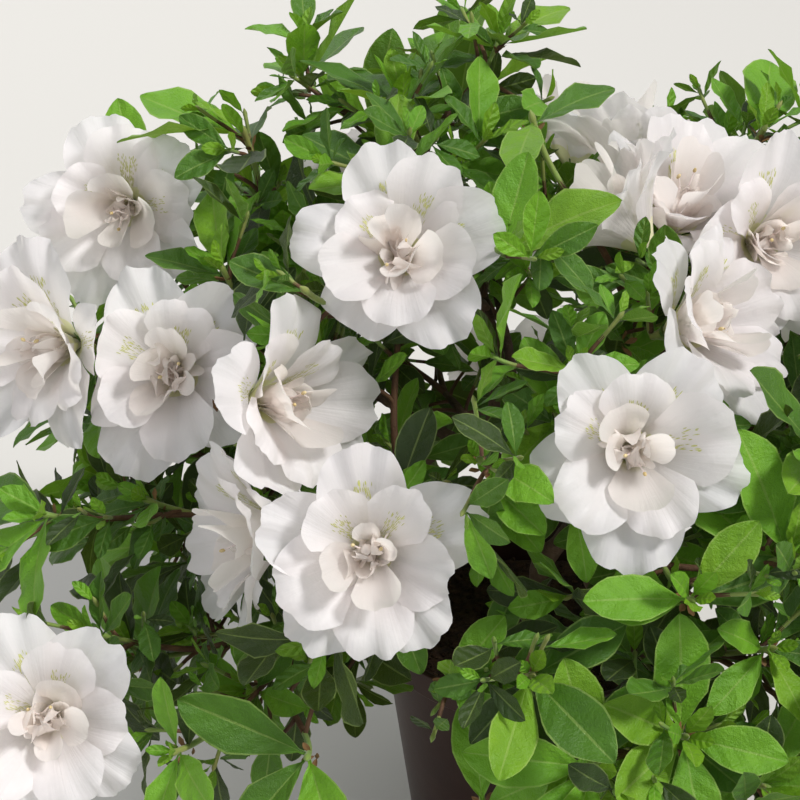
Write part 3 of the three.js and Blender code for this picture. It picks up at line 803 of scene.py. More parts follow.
def in_bloom(place, front=FRONT_ROOM):
    """True where a place is among the petals of an open bloom, or close in front of them"""
    apart = place - bloom_faces
    height = np.sum(apart * bloom_axes, axis=1)
    out = np.linalg.norm(apart - bloom_axes * height[:, None], axis=1)
    cone = CONE_FOOT + (height + BLOOM_DEPTH) * CONE_SLOPE
    reach = np.where(height > PETALS_FROM, AMONG_PETALS, cone)
    reach = np.where(height > PETALS_TO, BEFORE_PETALS, reach)
    return bool(np.any((height > -BLOOM_DEPTH) & (height < front) & (out < reach)))


def in_opening(place):
    """True in the gap of the crown's front that shows the pot"""
    bearing = math.degrees(math.atan2(place[1], place[0]))
    return OPENING[0] < bearing < OPENING[1] and place[2] < OPENING_TOP


def in_box(place):
    return bool(np.all(place > BOX_LOW) and np.all(place < BOX_HIGH))


def blade_places(leaf):
    """Five places spread over a leaf's blade, to keep leaves from growing through each other"""
    widest = leaf.place(LEAF_WIDEST)
    aside = np.cross(leaf.direction, leaf.face) * leaf.size * BLADE_HALF * 0.8
    along = [leaf.place(share) for share in (0.4, 0.7, 0.95)]
    return np.array([*along, widest - aside, widest + aside])


class Sprays:
    """All leaves of the crown, gathered by tone"""

    MOST = 20000

    def __init__(self):
        self.rows = {tone: [] for tone in TONES}
        self.middles = np.zeros((self.MOST, 3))
        self.blades = np.zeros((self.MOST, 5, 3))
        self.count = 0

    def add(self, tone, leaf, random):
        """Takes a leaf as a row of numbers: place, turn, size and kind"""
        roll = math.radians(ROLL) * (random() - 0.5)
        side = np.cross(leaf.face, leaf.direction)
        face = swung(leaf.face, side, roll)
        side = np.cross(face, leaf.direction)
        kind = int(random() * len(LEAF_KINDS)) + (0 if leaf.size > SMALL_LEAF else len(LEAF_KINDS))
        width = WIDTH_FROM + WIDTH_SPREAD * random()
        turn = Matrix(np.column_stack([leaf.direction, side, face]).tolist()).to_euler()
        self.rows[tone].append((leaf.root, turn, (leaf.size, leaf.size * width, leaf.size), kind))
        self.middles[self.count] = leaf.place(LEAF_MIDDLE)
        self.blades[self.count] = blade_places(leaf)
        self.count += 1

    def try_leaf(self, tone, leaf, mass, random, apart=FINE_LEAF_APART):
        """Takes a leaf only where it has room"""
        tried = [leaf.place(share) for share in (LEAF_NECK, 0.6, 0.85, 1)]
        middle = leaf.place(LEAF_MIDDLE)
        if any(in_bloom(p) or in_opening(p) or not in_box(p) for p in tried):
            return False
        if not allowed(tried[1:], mass):
            return False
        if np.any(np.sum((self.middles[: self.count] - middle) ** 2, axis=1) < apart * apart):
            return False
        others = self.blades[: self.count].reshape(-1, 3)
        close = others[np.sum((others - middle) ** 2, axis=1) < leaf.size * leaf.size]
        room = apart * BLADE_ROOM
        for place in blade_places(leaf):
            if len(close) and np.min(np.sum((close - place) ** 2, axis=1)) < room * room:
                return False
        self.add(tone, leaf, random)
        return True


sprays = Sprays()


def stepped(leaf, axis, back):
    """The leaf with its root moved back along the twig and out to the twig's side"""
    out = unit(leaf.direction - axis * (leaf.direction @ axis))
    leaf.root = leaf.root - axis * back + out * ROOT_RADIUS
    return leaf


def rosette(item, tip, axis, length, count, angles, tones, back, apart):
    """Leaves spread evenly round a tip"""
    raised, aside = square_to(axis)
    random = item.random
    start = random() * 2 * math.pi
    for i in range(count):
        turn = start + (i + 0.3 * random()) * 2 * math.pi / count
        out = swung(raised, aside, turn)
        spread = math.radians(mix(*angles, random()))
        size = length * mix(*SIZE_RANGE, random())
        tone = tones[int(random() * len(tones))]
        for share in LEAF_TRIES:
            leaf = spread_leaf(tip, axis, out, spread, size * share)
            leaf = stepped(leaf, axis, back + i * 0.5)
            if sprays.try_leaf(tone, leaf, item.mass, random, apart):
                break


def dress_shoots():
    """The leaves of the solids, then the smaller ones between and inside them"""
    middles = {mass.index: [] for mass in masses}
    for item in grown:
        random, mass, axis = item.random, item.mass, item.axis
        faces = [other.face for other in open_blooms if other.mass is mass]
        if item.shoot.bloom:
            foot, angles = item.tip - axis * CALYX_STEP, CALYX_LEAF_ANGLES
            whorl = whorl_leaves(foot, axis, OUTER_LEAF, LEAVES_PER_BLOOM, random, angles)
        else:
            leaf, count = item.shoot.leaf, item.shoot.count
            whorl = whorl_leaves(item.tip, axis, leaf, count, random, SHOOT_LEAF_ANGLES)
        kept = []
        for leaf in whorl:
            middle = leaf.place(LEAF_MIDDLE)
            if any(np.linalg.norm(m - middle) < LEAF_APART for m in middles[mass.index]):
                continue
            if any(np.linalg.norm(f - middle) < BLOOM_CLEARANCE for f in faces):
                continue
            if allowed([*leaf.corners(), leaf.place(LEAF_NECK), middle], mass):
                kept.append(leaf)
        middles[mass.index] += [leaf.place(LEAF_MIDDLE) for leaf in kept]
        if item.shoot.bloom:
            item.turn = random() * BLOOM_TURN
        item.kept = kept
    for item in grown:
        random = item.random
        from_heart = item.tip - HEART
        # Outer leaves take lighter tones as painted sunlight, inner ones darker tones as painted
        # shade
        painted_sunlit = np.linalg.norm(from_heart) > PAINTED_SUNLIT_FROM * crown_reach(unit(from_heart))
        tones = PAINTED_SUNLIT_TONES if painted_sunlit else PAINTED_SHADE_TONES
        for order, leaf in enumerate(item.kept):
            tone = tones[int(random() * len(tones))]
            leaf = stepped(leaf, item.axis, order * LEAF_STEP)
            front = FRONT_ROOM if item.shoot.bloom else PETAL_ROOM
            if not any(in_bloom(leaf.place(share), front) for share in (LEAF_NECK, 0.6, 0.9)):
                sprays.add(tone, leaf, random)


def fine_tones(place):
    """The tones of fine leaves, darker low in the crown as painted shade"""
    return PAINTED_LOW_SHADE_TONES if place[2] < PAINTED_SHADE_BELOW else HIGH_TONES


def dress_finer():
    """Second whorls, young leaves at the heart of each rosette, and fine leafy twigs"""
    fine = []
    for item in grown:
        random, axis = item.random, item.axis
        length = OUTER_LEAF * CALYX_LEAF if item.shoot.bloom else item.shoot.leaf
        drop = SECOND_WHORL_DROP + (CALYX_STEP if item.shoot.bloom else 0)
        sparse = len(item.kept) < SPARSE_BELOW and not item.shoot.bloom
        size = length * (SPARSE_SHARE if sparse else SECOND_WHORL_SHARE)
        rosette(item, item.tip, axis, size, SECOND_WHORL, SECOND_WHORL_ANGLES, SECOND_TONES, drop,
                SECOND_WHORL_APART)
        if not item.shoot.bloom:
            rosette(item, item.tip, axis, length * CORE_SHARE, CORE_LEAVES, CORE_ANGLES, CORE_TONES,
                    -CORE_LIFT, CORE_APART)
    carriers = [(item, item.curve, FINE_TWIGS_AT) for item in grown]
    carriers += [(next(i for i in grown if i.mass is mass), stems[mass.index], STEM_TWIGS_AT)
                 for mass in masses]
    for item, curve, places in carriers:
        random = item.random
        for t in places:
            start, tangent = curve.place(t), curve.tangent(t)
            raised, aside = square_to(tangent)
            for _ in range(FINE_TWIG_TRIES):
                turn = random() * 2 * math.pi
                out = swung(raised, aside, turn)
                ahead = unit(tangent * 0.55 + out + unit(start - HEART) * 0.45 + UP * 0.15)
                length = mix(*FINE_TWIG_LENGTH, random())
                tip = start + ahead * length
                if allowed([tip, mix(start, tip, 0.6)], item.mass) and not in_bloom(tip):
                    break
            else:
                continue
            before = sprays.count
            leaf = mix(*FINE_LEAF, random())
            rosette(item, tip, ahead, leaf, FINE_LEAVES, FINE_LEAF_ANGLES, fine_tones(tip), 0,
                    FINE_LEAF_APART + 2)
            if sprays.count > before:
                rosette(item, tip, ahead, leaf * 0.45, 2, CORE_ANGLES, TIP_TONES, -1, CORE_APART)
                fine.append(Bend(start, unit(tangent + ahead), tip, ahead))
    return fine


def dress_gaps(fine):
    """Leafy twigs where the crown's dome has a gap, each from the nearest wood of its own mass"""
    random = seeded_random(GAP_SEED)
    carriers = [(item.curve, item) for item in grown]
    places = np.array([curve.place(t) for curve, _ in carriers for t in GAP_TWIGS_AT])
    lowest = math.sin(math.radians(LOWEST_RISE))
    for i in range(GAP_TRIES):
        rise = math.degrees(math.asin(1 - ((i + 0.5) / GAP_TRIES) * (1 - lowest)))
        outward = way(i * GOLDEN_ANGLE, rise)
        tip = HEART + outward * crown_reach(outward) * mix(*GAP_DOME, random())
        others = sprays.middles[: sprays.count]
        if np.any(np.sum((others - tip) ** 2, axis=1) < GAP_ROOM**2):
            continue
        if in_bloom(tip) or not in_box(tip):
            continue
        apart = np.linalg.norm(places - tip, axis=1)
        nearest = int(np.argmin(apart))
        curve, item = carriers[nearest // len(GAP_TWIGS_AT)]
        if apart[nearest] > GAP_REACH:
            continue
        start = places[nearest]
        ahead = unit(unit(tip - start) + outward * 0.8 + UP * 0.2)
        twig = Bend(start, unit(tip - start), tip, ahead)
        if not allowed([tip, twig.place(0.4), twig.place(0.7)], item.mass):
            continue
        before = sprays.count
        leaf = mix(*GAP_LEAF, random())
        rosette(item, tip, ahead, leaf, FINE_LEAVES, GAP_LEAF_ANGLES, fine_tones(tip), 0,
                FINE_LEAF_APART + 2)
        if sprays.count > before + 1:
            rosette(item, tip, ahead, leaf * 0.5, 3, CORE_ANGLES, TIP_TONES, -1, CORE_APART)
            fine.append(twig)


def dress_scales():
    """Small brown scales round the foot of each rosette, and the sepals of the blooms"""
    for item in grown:
        raised, aside = square_to(item.axis)
        for i in range(SCALES_PER_SHOOT):
            turn = (i + item.random()) * 2 * math.pi / SCALES_PER_SHOOT
            out = swung(raised, aside, turn)
            back = 2 + 5 * item.random() + (CALYX_STEP if item.shoot.bloom else 0)
            scale = spread_leaf(item.tip, item.axis, out, math.radians(SCALE_LEAN), SCALE_LENGTH)
            scale = stepped(scale, item.axis, back)
            if item.shoot.bloom or not in_bloom(scale.place(0.6), PETAL_ROOM):
                sprays.add("scale", scale, item.random)
        if not item.shoot.bloom:
            continue
        for i in range(PETALS):
            turn = item.turn + i * 2 * math.pi / PETALS
            out = swung(raised, aside, turn)
            root = item.face - item.axis * CALYX_DEPTH
            sepal = spread_leaf(root, item.axis, out, math.radians(SEPAL_LEAN), SEPAL)
            sprays.add("mid", stepped(sepal, item.axis, 0), item.random)


# Meshes
class Sheet:
    """Places and faces of one piece, gathered from many small grids"""

    def __init__(self):
        self.places = []
        self.faces = []
        self.maps = []
        self.count = 0

    def grid(self, places, across, along):
        """Adds a grid of places, rows first, with its map across and along"""
        rows, columns = places.shape[:2]
        index = np.arange(rows * columns).reshape(rows, columns) + self.count
        corners = [index[:-1, :-1], index[1:, :-1], index[1:, 1:], index[:-1, 1:]]
        self.faces.append(np.stack(corners, -1).reshape(-1, 4))
        self.places.append(places.reshape(-1, 3))
        self.maps.append(np.stack([across, along], -1).reshape(-1, 2))
        self.count += rows * columns

    def tube(self, places, radii, sides, lobes=None):
        """Adds a closed round tube along a row of places"""
        places = np.asarray(places)
        ahead = np.gradient(places, axis=0)
        ahead /= np.linalg.norm(ahead, axis=1)[:, None]
        raised = square_to(ahead[0])[0]
        angles = np.linspace(0, 2 * math.pi, sides + 1)
        rings = []
        for row, place in enumerate(places):
            raised = unit(raised - ahead[row] * (raised @ ahead[row]))
            aside = np.cross(ahead[row], raised)
            swell = 1 if lobes is None else 1 + lobes[row] * np.cos(FLARE_LOBES * angles)
            radius = (radii[row] * swell * np.ones(sides + 1))[:, None]
            turn = np.cos(angles)[:, None] * raised + np.sin(angles)[:, None] * aside
            rings.append(place + radius * turn)
        rings = [np.repeat(places[:1], sides + 1, 0), *rings, np.repeat(places[-1:], sides + 1, 0)]
        grid = np.array(rings)
        along, across = np.meshgrid(np.linspace(0, 1, len(rings)), angles, indexing="ij")
        self.grid(grid[:, ::-1], across, along)

    def mesh(self, name, merge=0.0):
        """The finished mesh, in metres"""
        mesh = bpy.data.meshes.new(name)
        places = np.concatenate(self.places) * MM
        faces = np.concatenate(self.faces)
        mesh.from_pydata(places.tolist(), [], faces.tolist())
        layer = mesh.uv_layers.new(name="UVMap")
        layer.data.foreach_set("uv", np.concatenate(self.maps)[faces.reshape(-1)].reshape(-1))
        mesh.shade_smooth()
        if merge:
            weld(mesh, merge)
        return mesh


def weld(mesh, distance):
    """Merges places that coincide and drops faces without area"""
    work = bmesh.new()
    work.from_mesh(mesh)
    bmesh.ops.remove_doubles(work, verts=work.verts, dist=distance)
    bmesh.ops.dissolve_degenerate(work, edges=work.edges, dist=distance)
    bmesh.ops.recalc_face_normals(work, faces=work.faces)
    work.to_mesh(mesh)
    work.free()


def shown(name, mesh):
    piece = bpy.data.objects.new(name, mesh)
    mesh.name = name
    bpy.context.scene.collection.objects.link(piece)
    return piece


def dressed(piece, material, slot_name, *nodes):
    """Gives a piece its material and its place in the frame"""
    if material is not None:
        piece.data.materials.clear()
        piece.data.materials.append(material)
    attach(piece, "root")
    if nodes:
        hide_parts(*nodes)
    return piece


def keep(mesh, name, kind, values, domain="POINT"):
    """Stores values on a mesh under a name that a node tree reads"""
    field = "vector" if kind == "FLOAT_VECTOR" else "value"
    mesh.attributes.new(name, kind, domain).data.foreach_set(field, values)


def path_mesh(name, paths):
    """A mesh of open paths, each a row of places with the thickness there"""
    places, edges, thick = [], [], []
    for path, radii in paths:
        first = len(places)
        places += [tuple(p) for p in np.asarray(path) * MM]
        thick += [r * MM for r in radii]
        edges += [(first + i, first + i + 1) for i in range(len(path) - 1)]
    mesh = bpy.data.meshes.new(name)
    mesh.from_pydata(places, edges, [])
    keep(mesh, "thick", "FLOAT", thick)
    return mesh


def with_bud(path, size):
    """A path that ends in a pointed bud"""
    places, radii = path
    ahead = unit(places[-1] - places[-2])
    ends = [places[-1] + ahead * size * step for step in (1, 2, 3, 3.6)]
    return [*places, *ends], [*radii, size * 1.05, size * 0.9, size * 0.45, size * 0.1]


def part_of(curve, start, end, steps, radii):
    """A stretch of a curve as a path, its radius running from one value to another"""
    shares = np.linspace(0, 1, steps + 1)
    places = [curve.place(mix(start, end, s)) for s in shares]
    return places, [mix(radii[0], radii[1], s) for s in shares]


# Node trees
def add_node(tree, kind, inputs=None, **settings):
    """A node with its settings, its inputs linked or set"""
    node = tree.nodes.new(kind)
    for name, value in settings.items():
        setattr(node, name, value)
    for name, value in (inputs or {}).items():
        socket = node.inputs[name]
        if isinstance(value, bpy.types.NodeSocket):
            tree.links.new(value, socket)
        else:
            socket.default_value = value
    return node


def result(tree, kind, inputs=None, **settings):
    """The first output of a new node"""
    return add_node(tree, kind, inputs, **settings).outputs[0]


def maths(tree, operation, *values):
    """An operation on sockets and numbers"""
    return result(tree, "ShaderNodeMath", dict(enumerate(values)), operation=operation)


def noise(tree, scale, detail, place=None):
    """Noise at a place, or at the surface's own where none is given"""
    inputs = {"Scale": scale, "Detail": detail}
    if place is not None:
        inputs["Vector"] = place
    return result(tree, "ShaderNodeTexNoise", inputs)


def new_group(name, kind, inputs, outputs):
    """A node group with its sockets, its input node and its output node"""
    tree = bpy.data.node_groups.new(name, kind)
    for direction, sockets in (("INPUT", inputs), ("OUTPUT", outputs)):
        for label, socket_type in sockets:
            tree.interface.new_socket(label, in_out=direction, socket_type=socket_type)
    return tree, tree.nodes.new("NodeGroupInput").outputs, tree.nodes.new("NodeGroupOutput").inputs


GEOMETRY = ("Geometry", "NodeSocketGeometry")
MATERIAL = "NodeSocketMaterial"
FLOAT = "NodeSocketFloat"
COLOUR = "NodeSocketColor"


def geometry_tree(name, *inputs):
    return new_group(name, "GeometryNodeTree", [GEOMETRY, *inputs], [GEOMETRY])


def read(tree, name, kind):
    """A named attribute's socket"""
    node = add_node(tree, "GeometryNodeInputNamedAttribute", {"Name": name}, data_type=kind)
    return node.outputs["Attribute"]


def end_tree(tree, geometry, out, material, *marked):
    """Ends a tree: real geometry with its material, and others where faces are marked"""
    real = result(tree, "GeometryNodeRealizeInstances", {"Geometry": geometry})
    chosen = {"Geometry": real, "Material": material}
    painted = result(tree, "GeometryNodeSetMaterial", chosen)
    for mark, other in marked:
        chosen = {"Geometry": painted, "Material": other}
        chosen["Selection"] = read(tree, mark, "BOOLEAN")
        painted = result(tree, "GeometryNodeSetMaterial", chosen)
    tree.links.new(painted, out["Geometry"])
    return tree


def grow(name, mesh, tree, values, before=()):
    """Runs a tree on a mesh and returns the result as a piece with a plain mesh"""
    piece = shown(name, mesh)
    for kind, settings in before:
        modifier = piece.modifiers.new(kind, kind)
        for key, value in settings.items():
            setattr(modifier, key, value)
    modifier = piece.modifiers.new("Grow", "NODES")
    modifier.node_group = tree
    for socket in tree.interface.items_tree:
        if socket.in_out == "INPUT" and socket.name in values:
            modifier[socket.identifier] = values[socket.name]
    depsgraph = bpy.context.evaluated_depsgraph_get()
    made = bpy.data.meshes.new_from_object(piece.evaluated_get(depsgraph), depsgraph=depsgraph)
    piece.modifiers.clear()
    piece.data = made
    made.name = name
    bpy.data.meshes.remove(mesh)
    return piece


def leaf_tree():
    """Places a leaf of the right kind at each point, turned and sized by its attributes"""
    parts = [(part, MATERIAL) for part in LEAF_PARTS]
    tree, start, out = geometry_tree("Place Leaves", ("Kinds", "NodeSocketCollection"), *parts)
    shapes = {"Collection": start["Kinds"], "Separate Children": True, "Reset Children": True}
    turn = {"Euler": read(tree, "turn", "FLOAT_VECTOR")}
    placed = {
        "Points": start["Geometry"],
        "Instance": result(tree, "GeometryNodeCollectionInfo", shapes),
        "Pick Instance": True,
        "Instance Index": read(tree, "kind", "INT"),
        "Rotation": result(tree, "FunctionNodeEulerToRotation", turn),
        "Scale": read(tree, "size", "FLOAT_VECTOR"),
    }
    leaves = result(tree, "GeometryNodeInstanceOnPoints", placed)
    marked = (("rib", start["Rib"]), ("edge", start["Edge"]))
    return end_tree(tree, leaves, out, start["Blade"], *marked)


def twig_tree():
    """Makes paths into round twigs whose thickness follows the attribute of that name"""
    inputs = (("Sides", "NodeSocketInt"), ("Bark", MATERIAL))
    tree, start, out = geometry_tree("Round Twigs", *inputs)
    ring = {"Resolution": start["Sides"], "Radius": 1.0}
    swept = {
        "Curve": result(tree, "GeometryNodeMeshToCurve", {"Mesh": start["Geometry"]}),
        "Profile Curve": result(tree, "GeometryNodeCurvePrimitiveCircle", ring),
        "Scale": read(tree, "thick", "FLOAT"),
        "Fill Caps": True,
    }
    twig = result(tree, "GeometryNodeCurveToMesh", swept)
    return end_tree(tree, twig, out, start["Bark"])


def bark_tree():
    """Pushes a surface in and out by two sizes of noise"""
    sizes = [(name, FLOAT) for name in BARK_RELIEF]
    tree, start, out = geometry_tree("Bark Relief", *sizes, ("Bark", MATERIAL))
    normal = result(tree, "GeometryNodeInputNormal")
    geometry = start["Geometry"]
    for size in ("Ridge", "Knot"):
        centred = maths(tree, "SUBTRACT", noise(tree, start[size + " Scale"], 3.0), 0.5)
        push = {0: normal, "Scale": maths(tree, "MULTIPLY", centred, start[size + " Depth"])}
        offset = result(tree, "ShaderNodeVectorMath", push, operation="SCALE")
        moved = {"Geometry": geometry, "Offset": offset}
        geometry = result(tree, "GeometryNodeSetPosition", moved)
    return end_tree(tree, geometry, out, start["Bark"])


def crumb_tree():
    """Strews crumbs of several sizes over a surface and joins them to it"""
    sizes = [(name, FLOAT) for name in ("Density", "Smallest", "Largest")]
    inputs = (*sizes, ("Seed", "NodeSocketInt"), ("Soil", MATERIAL))
    tree, start, out = geometry_tree("Strew Crumbs", *inputs)
    strewn = {"Mesh": start["Geometry"], "Density": start["Density"], "Seed": start["Seed"]}
    points = add_node(tree, "GeometryNodeDistributePointsOnFaces", strewn).outputs
    size = add_node(tree, "FunctionNodeRandomValue", data_type="FLOAT_VECTOR")
    for socket, bound in zip(size.inputs, ("Smallest", "Largest")):
        tree.links.new(start[bound], socket)
    tree.links.new(start["Seed"], next(s for s in size.inputs if s.name == "Seed"))
    crumb = {"Radius": 1.0, "Subdivisions": 1}
    placed = {
        "Points": points["Points"],
        "Instance": result(tree, "GeometryNodeMeshIcoSphere", crumb),
        "Rotation": points["Rotation"],
        "Scale": size.outputs["Value"],
    }
    crumbs = result(tree, "GeometryNodeInstanceOnPoints", placed)
    joined = add_node(tree, "GeometryNodeJoinGeometry")
    for geometry in (crumbs, start["Geometry"]):
        tree.links.new(geometry, joined.inputs[0])
    return end_tree(tree, joined.outputs[0], out, start["Soil"])


# Shader groups
def mottle_group():
    """Two colours that pass into each other in soft patches"""
    inputs = [("Colour", COLOUR), ("Other", COLOUR), ("Scale", FLOAT), ("Share", FLOAT)]
    tree, start, out = new_group("Mottled Colour", "ShaderNodeTree", inputs, [("Colour", COLOUR)])
    place = add_node(tree, "ShaderNodeTexCoord").outputs["Object"]
    patch = {"Value": noise(tree, start["Scale"], 3.0, place), "From Min": 0.35, "From Max": 0.65}
    share = maths(tree, "MULTIPLY", result(tree, "ShaderNodeMapRange", patch), start["Share"])
    colours = {"Factor": share, 6: start["Colour"], 7: start["Other"]}
    mixed = add_node(tree, "ShaderNodeMix", colours, data_type="RGBA")
    tree.links.new(mixed.outputs[2], out["Colour"])
    return tree


def height_group(name, *labels):
    """A group with these inputs that puts out a height"""
    inputs = [(label, FLOAT) for label in labels]
    return new_group(name, "ShaderNodeTree", inputs, [("Height", FLOAT)])


def relief_group():
    """A height made of coarse and fine noise"""
    tree, start, out = height_group("Surface Relief", *RELIEF_INPUTS)
    place = add_node(tree, "ShaderNodeTexCoord").outputs["Object"]
    coarse, fine = (noise(tree, start[size], 2.0, place) for size in ("Coarse", "Fine"))
    tree.links.new(maths(tree, "MULTIPLY_ADD", fine, start["Fine Share"], coarse), out["Height"])
    return tree


def map_axes(tree):
    """The sockets of a piece's own map, across and along"""
    place = add_node(tree, "ShaderNodeTexCoord").outputs["UV"]
    parts = add_node(tree, "ShaderNodeSeparateXYZ", {0: place}).outputs
    return parts[0], parts[1]


def vein_group():
    """Side veins that slant from a leaf's rib to its edge, as a height"""
    tree, start, out = height_group("Side Veins", "Veins", "Slant")
    across, along = map_axes(tree)
    off = maths(tree, "ABSOLUTE", maths(tree, "SUBTRACT", across, 0.5))
    slant = maths(tree, "MULTIPLY", off, start["Slant"])
    turns = maths(tree, "MULTIPLY", along, start["Veins"])
    wave = maths(tree, "PINGPONG", maths(tree, "SUBTRACT", turns, slant), 1.0)
    tree.links.new(wave, out["Height"])
    return tree


def petal_vein_group():
    """Fine lines that run from a petal's foot to its edge, as a height"""
    tree, start, out = height_group("Petal Veins", "Lines", "Length")
    pairs = zip(map_axes(tree), (start["Lines"], start["Length"]))
    scaled = [maths(tree, "MULTIPLY", *pair) for pair in pairs]
    place = result(tree, "ShaderNodeCombineXYZ", dict(enumerate(scaled)))
    tree.links.new(noise(tree, 1.0, 2.0, place), out["Height"])
    return tree


# Finishes
RELIEF_INPUTS = ("Coarse", "Fine", "Fine Share")
MOTTLE = mottle_group()
RELIEF = relief_group()
LEAF_VEINS = (vein_group(), {"Veins": 9.0, "Slant": 4.0}, 0.85)
PETAL_LINES = (petal_vein_group(), {"Lines": 22.0, "Length": 1.4}, 1.0)
BUMP = 0.8

# Two colours, the scale of their patches and the share of the second, roughness, the relief's
# coarse scale, fine scale and fine share, its depth in millimetres, then what few finishes have
SILK = {"veins": PETAL_LINES, "sheen": 0.15, "glow": colour("fbf6f2"), "through": 0.5}
FINISHES = {
    "bud_scale": ("6b4a2c", "8a6a3e", 90, 0.8, 0.7, (600.0, 2000.0, 0.5), 0.2, {}),
    "young_bark": ("4a3020", "6b4c33", 120, 0.9, 0.75, (500.0, 1800.0, 0.6), 0.5, {}),
    "green_shoot": ("6f8f3a", "8a7a44", 80, 0.6, 0.6, (700.0, 2400.0, 0.5), 0.2, {"sheen": 0.2}),
    "bark": ("3a2a1e", "6d5844", 70, 0.9, 0.85, (350.0, 1400.0, 0.6), 1.0, {}),
    "petal_outer": ("f6f5f9", "f4f0f5", 22, 1, 0.5, (260.0, 900.0, 0.3), 0.34, SILK),
    "petal_inner": ("f7f5f8", "f5f0f4", 22, 1, 0.5, (260.0, 900.0, 0.3), 0.34, SILK),
    "petal_heart": ("fbf7f4", "faf2ef", 22, 1, 0.5, (260.0, 900.0, 0.3), 0.34,
                    SILK | {"through": 0.65}),
    "bloom_throat": ("f4f1c9", "f8f5e2", 40, 1, 0.55, (260.0, 900.0, 0.4), 0.3,
                     {"glow": colour("f4f6c8"), "through": 0.35}),
    "bloom_fleck": ("d2d390", "c2c47a", 200, 1, 0.6, (900.0, 2400.0, 0.4), 0.1, {}),
    "filament": ("f3e9e6", "ecdcd9", 90, 1, 0.5, (900.0, 2400.0, 0.4), 0.1, {}),
    "anther": ("dccb9c", "c4ab74", 300, 1, 0.7, (900.0, 2400.0, 0.4), 0.2, {}),
    "pot_plastic": ("2b1813", "38221a", 18, 1, 0.4, (120.0, 1500.0, 0.3), 0.12,
                    {"specular": 0.3}),
    "soil": ("2a1c12", "4a3523", 260, 1, 0.95, (500.0, 1600.0, 0.7), 1.0, {}),
}


def grouped(tree, group, values):
    """A group placed in a material with its own values"""
    return result(tree, "ShaderNodeGroup", values, node_tree=group)


def finish(name, base, other, patches, share, rough, relief, depth, more):
    """A material of two mottled colours with relief. More: veins, specular level, sheen, and
    the colour and share of the light that comes through"""
    material = bpy.data.materials.new(name)
    material.use_nodes = True
    tree = material.node_tree
    shader = tree.nodes["Principled BSDF"]
    mottled = {"Colour": base, "Other": other, "Scale": patches, "Share": share}
    tree.links.new(grouped(tree, MOTTLE, mottled), shader.inputs["Base Color"])
    shader.inputs["Roughness"].default_value = rough
    shader.inputs["Specular IOR Level"].default_value = more.get("specular", 0.5)
    shader.inputs["Sheen Weight"].default_value = more.get("sheen", 0.0)
    height = grouped(tree, RELIEF, dict(zip(RELIEF_INPUTS, relief)))
    if "veins" in more:
        group, values, amount = more["veins"]
        height = maths(tree, "MULTIPLY_ADD", grouped(tree, group, values), amount, height)
    bump = {"Height": height, "Strength": BUMP, "Distance": depth * MM}
    tree.links.new(result(tree, "ShaderNodeBump", bump), shader.inputs["Normal"])
    if "glow" in more:
        thin = result(tree, "ShaderNodeBsdfTranslucent", {"Color": more["glow"]})
        parts = {0: more["through"], 1: shader.outputs[0], 2: thin}
        both = result(tree, "ShaderNodeMixShader", parts)
        tree.links.new(both, tree.nodes["Material Output"].inputs["Surface"])
    return material


def finish_of(name):
    """A material from the table"""
    base, other, *numbers = FINISHES[name]
    return finish(name, colour(base), colour(other), *numbers)


# Leaves
# The deep and bright tones serve partly as painted shade and painted sunlight, given to inner and
# outer leaves
LEAF_COLOURS = {
    "deep": ("263e07", "1d3305"),
    "mid": ("48780e", "3a660b"),
    "bright": ("70a81c", "5e9614"),
    "young": ("7aa818", "689812"),
}
PALE_GREEN = "a9bf6a"
LEAF_GLOW = "b6d94a"
LEAF_NUMBERS = (60, 1, 0.45, (900.0, 2600.0, 0.7), 0.6)
# The paler parts of a leaf, with their share of the pale green
LEAF_PARTS = {"Blade": 0, "Rib": 0.3, "Edge": 0.34}


def blended(first, second, share):
    """A colour between two"""
    return tuple(mix(a, b, share) for a, b in zip(first, second))


def leaf_materials(tone):
    """Blade, rib and edge of the leaves of one tone"""
    made = []
    for part, share in LEAF_PARTS.items():
        pair = [blended(colour(code), colour(PALE_GREEN), share) for code in LEAF_COLOURS[tone]]
        more = {"veins": LEAF_VEINS, "sheen": 0.06, "through": 0.25}
        more["glow"] = blended(pair[0], colour(LEAF_GLOW), 0.3)
        made.append(finish(f"leaf_{tone}_{part.lower()}", *pair, *LEAF_NUMBERS, more))
    return made


def leaf_shape(name, kind, stations, columns, phase):
    """A leaf of length 1 along +X with its upper side towards +Z"""
    fold, droop, twist, wave = kind
    s = np.array(stations)[:, None] + np.zeros(len(columns))
    c = np.array(columns) + np.zeros((len(stations), 1))
    a = np.clip((s - STALK_SHARE) / (1 - STALK_SHARE), 0, 1)
    half = STALK_HALF * (1 - 0.8 * a) + BLADE_HALF * np.abs(np.sin(math.pi * a**1.3)) ** 0.72
    y = c * half
    groove = np.where(np.abs(c) < 0.2, RIB_GROOVE, 0) * (a > 0)
    z = fold * (np.abs(y) - 0.35 * y * y / half) - groove
    z += wave * half * c * c * np.sin(2 * math.pi * (2.3 * s + 0.25 * np.sign(c)) + phase)
    turn = math.radians(twist) * s
    y, z = y * np.cos(turn) - z * np.sin(turn), y * np.sin(turn) + z * np.cos(turn)
    sheet = Sheet()
    sheet.grid(np.stack([s, y, z - droop * s * s], -1) / MM, 0.5 + 0.5 * c, s)
    mesh = sheet.mesh(name)
    middle = np.array([abs(left + right) / 2 for left, right in zip(columns, columns[1:])])
    per_face = np.tile(middle, len(stations) - 1)
    for mark, chosen in (("rib", per_face < 0.02), ("edge", per_face > 0.95)):
        keep(mesh, mark, "BOOLEAN", chosen.tolist(), "FACE")
    return mesh


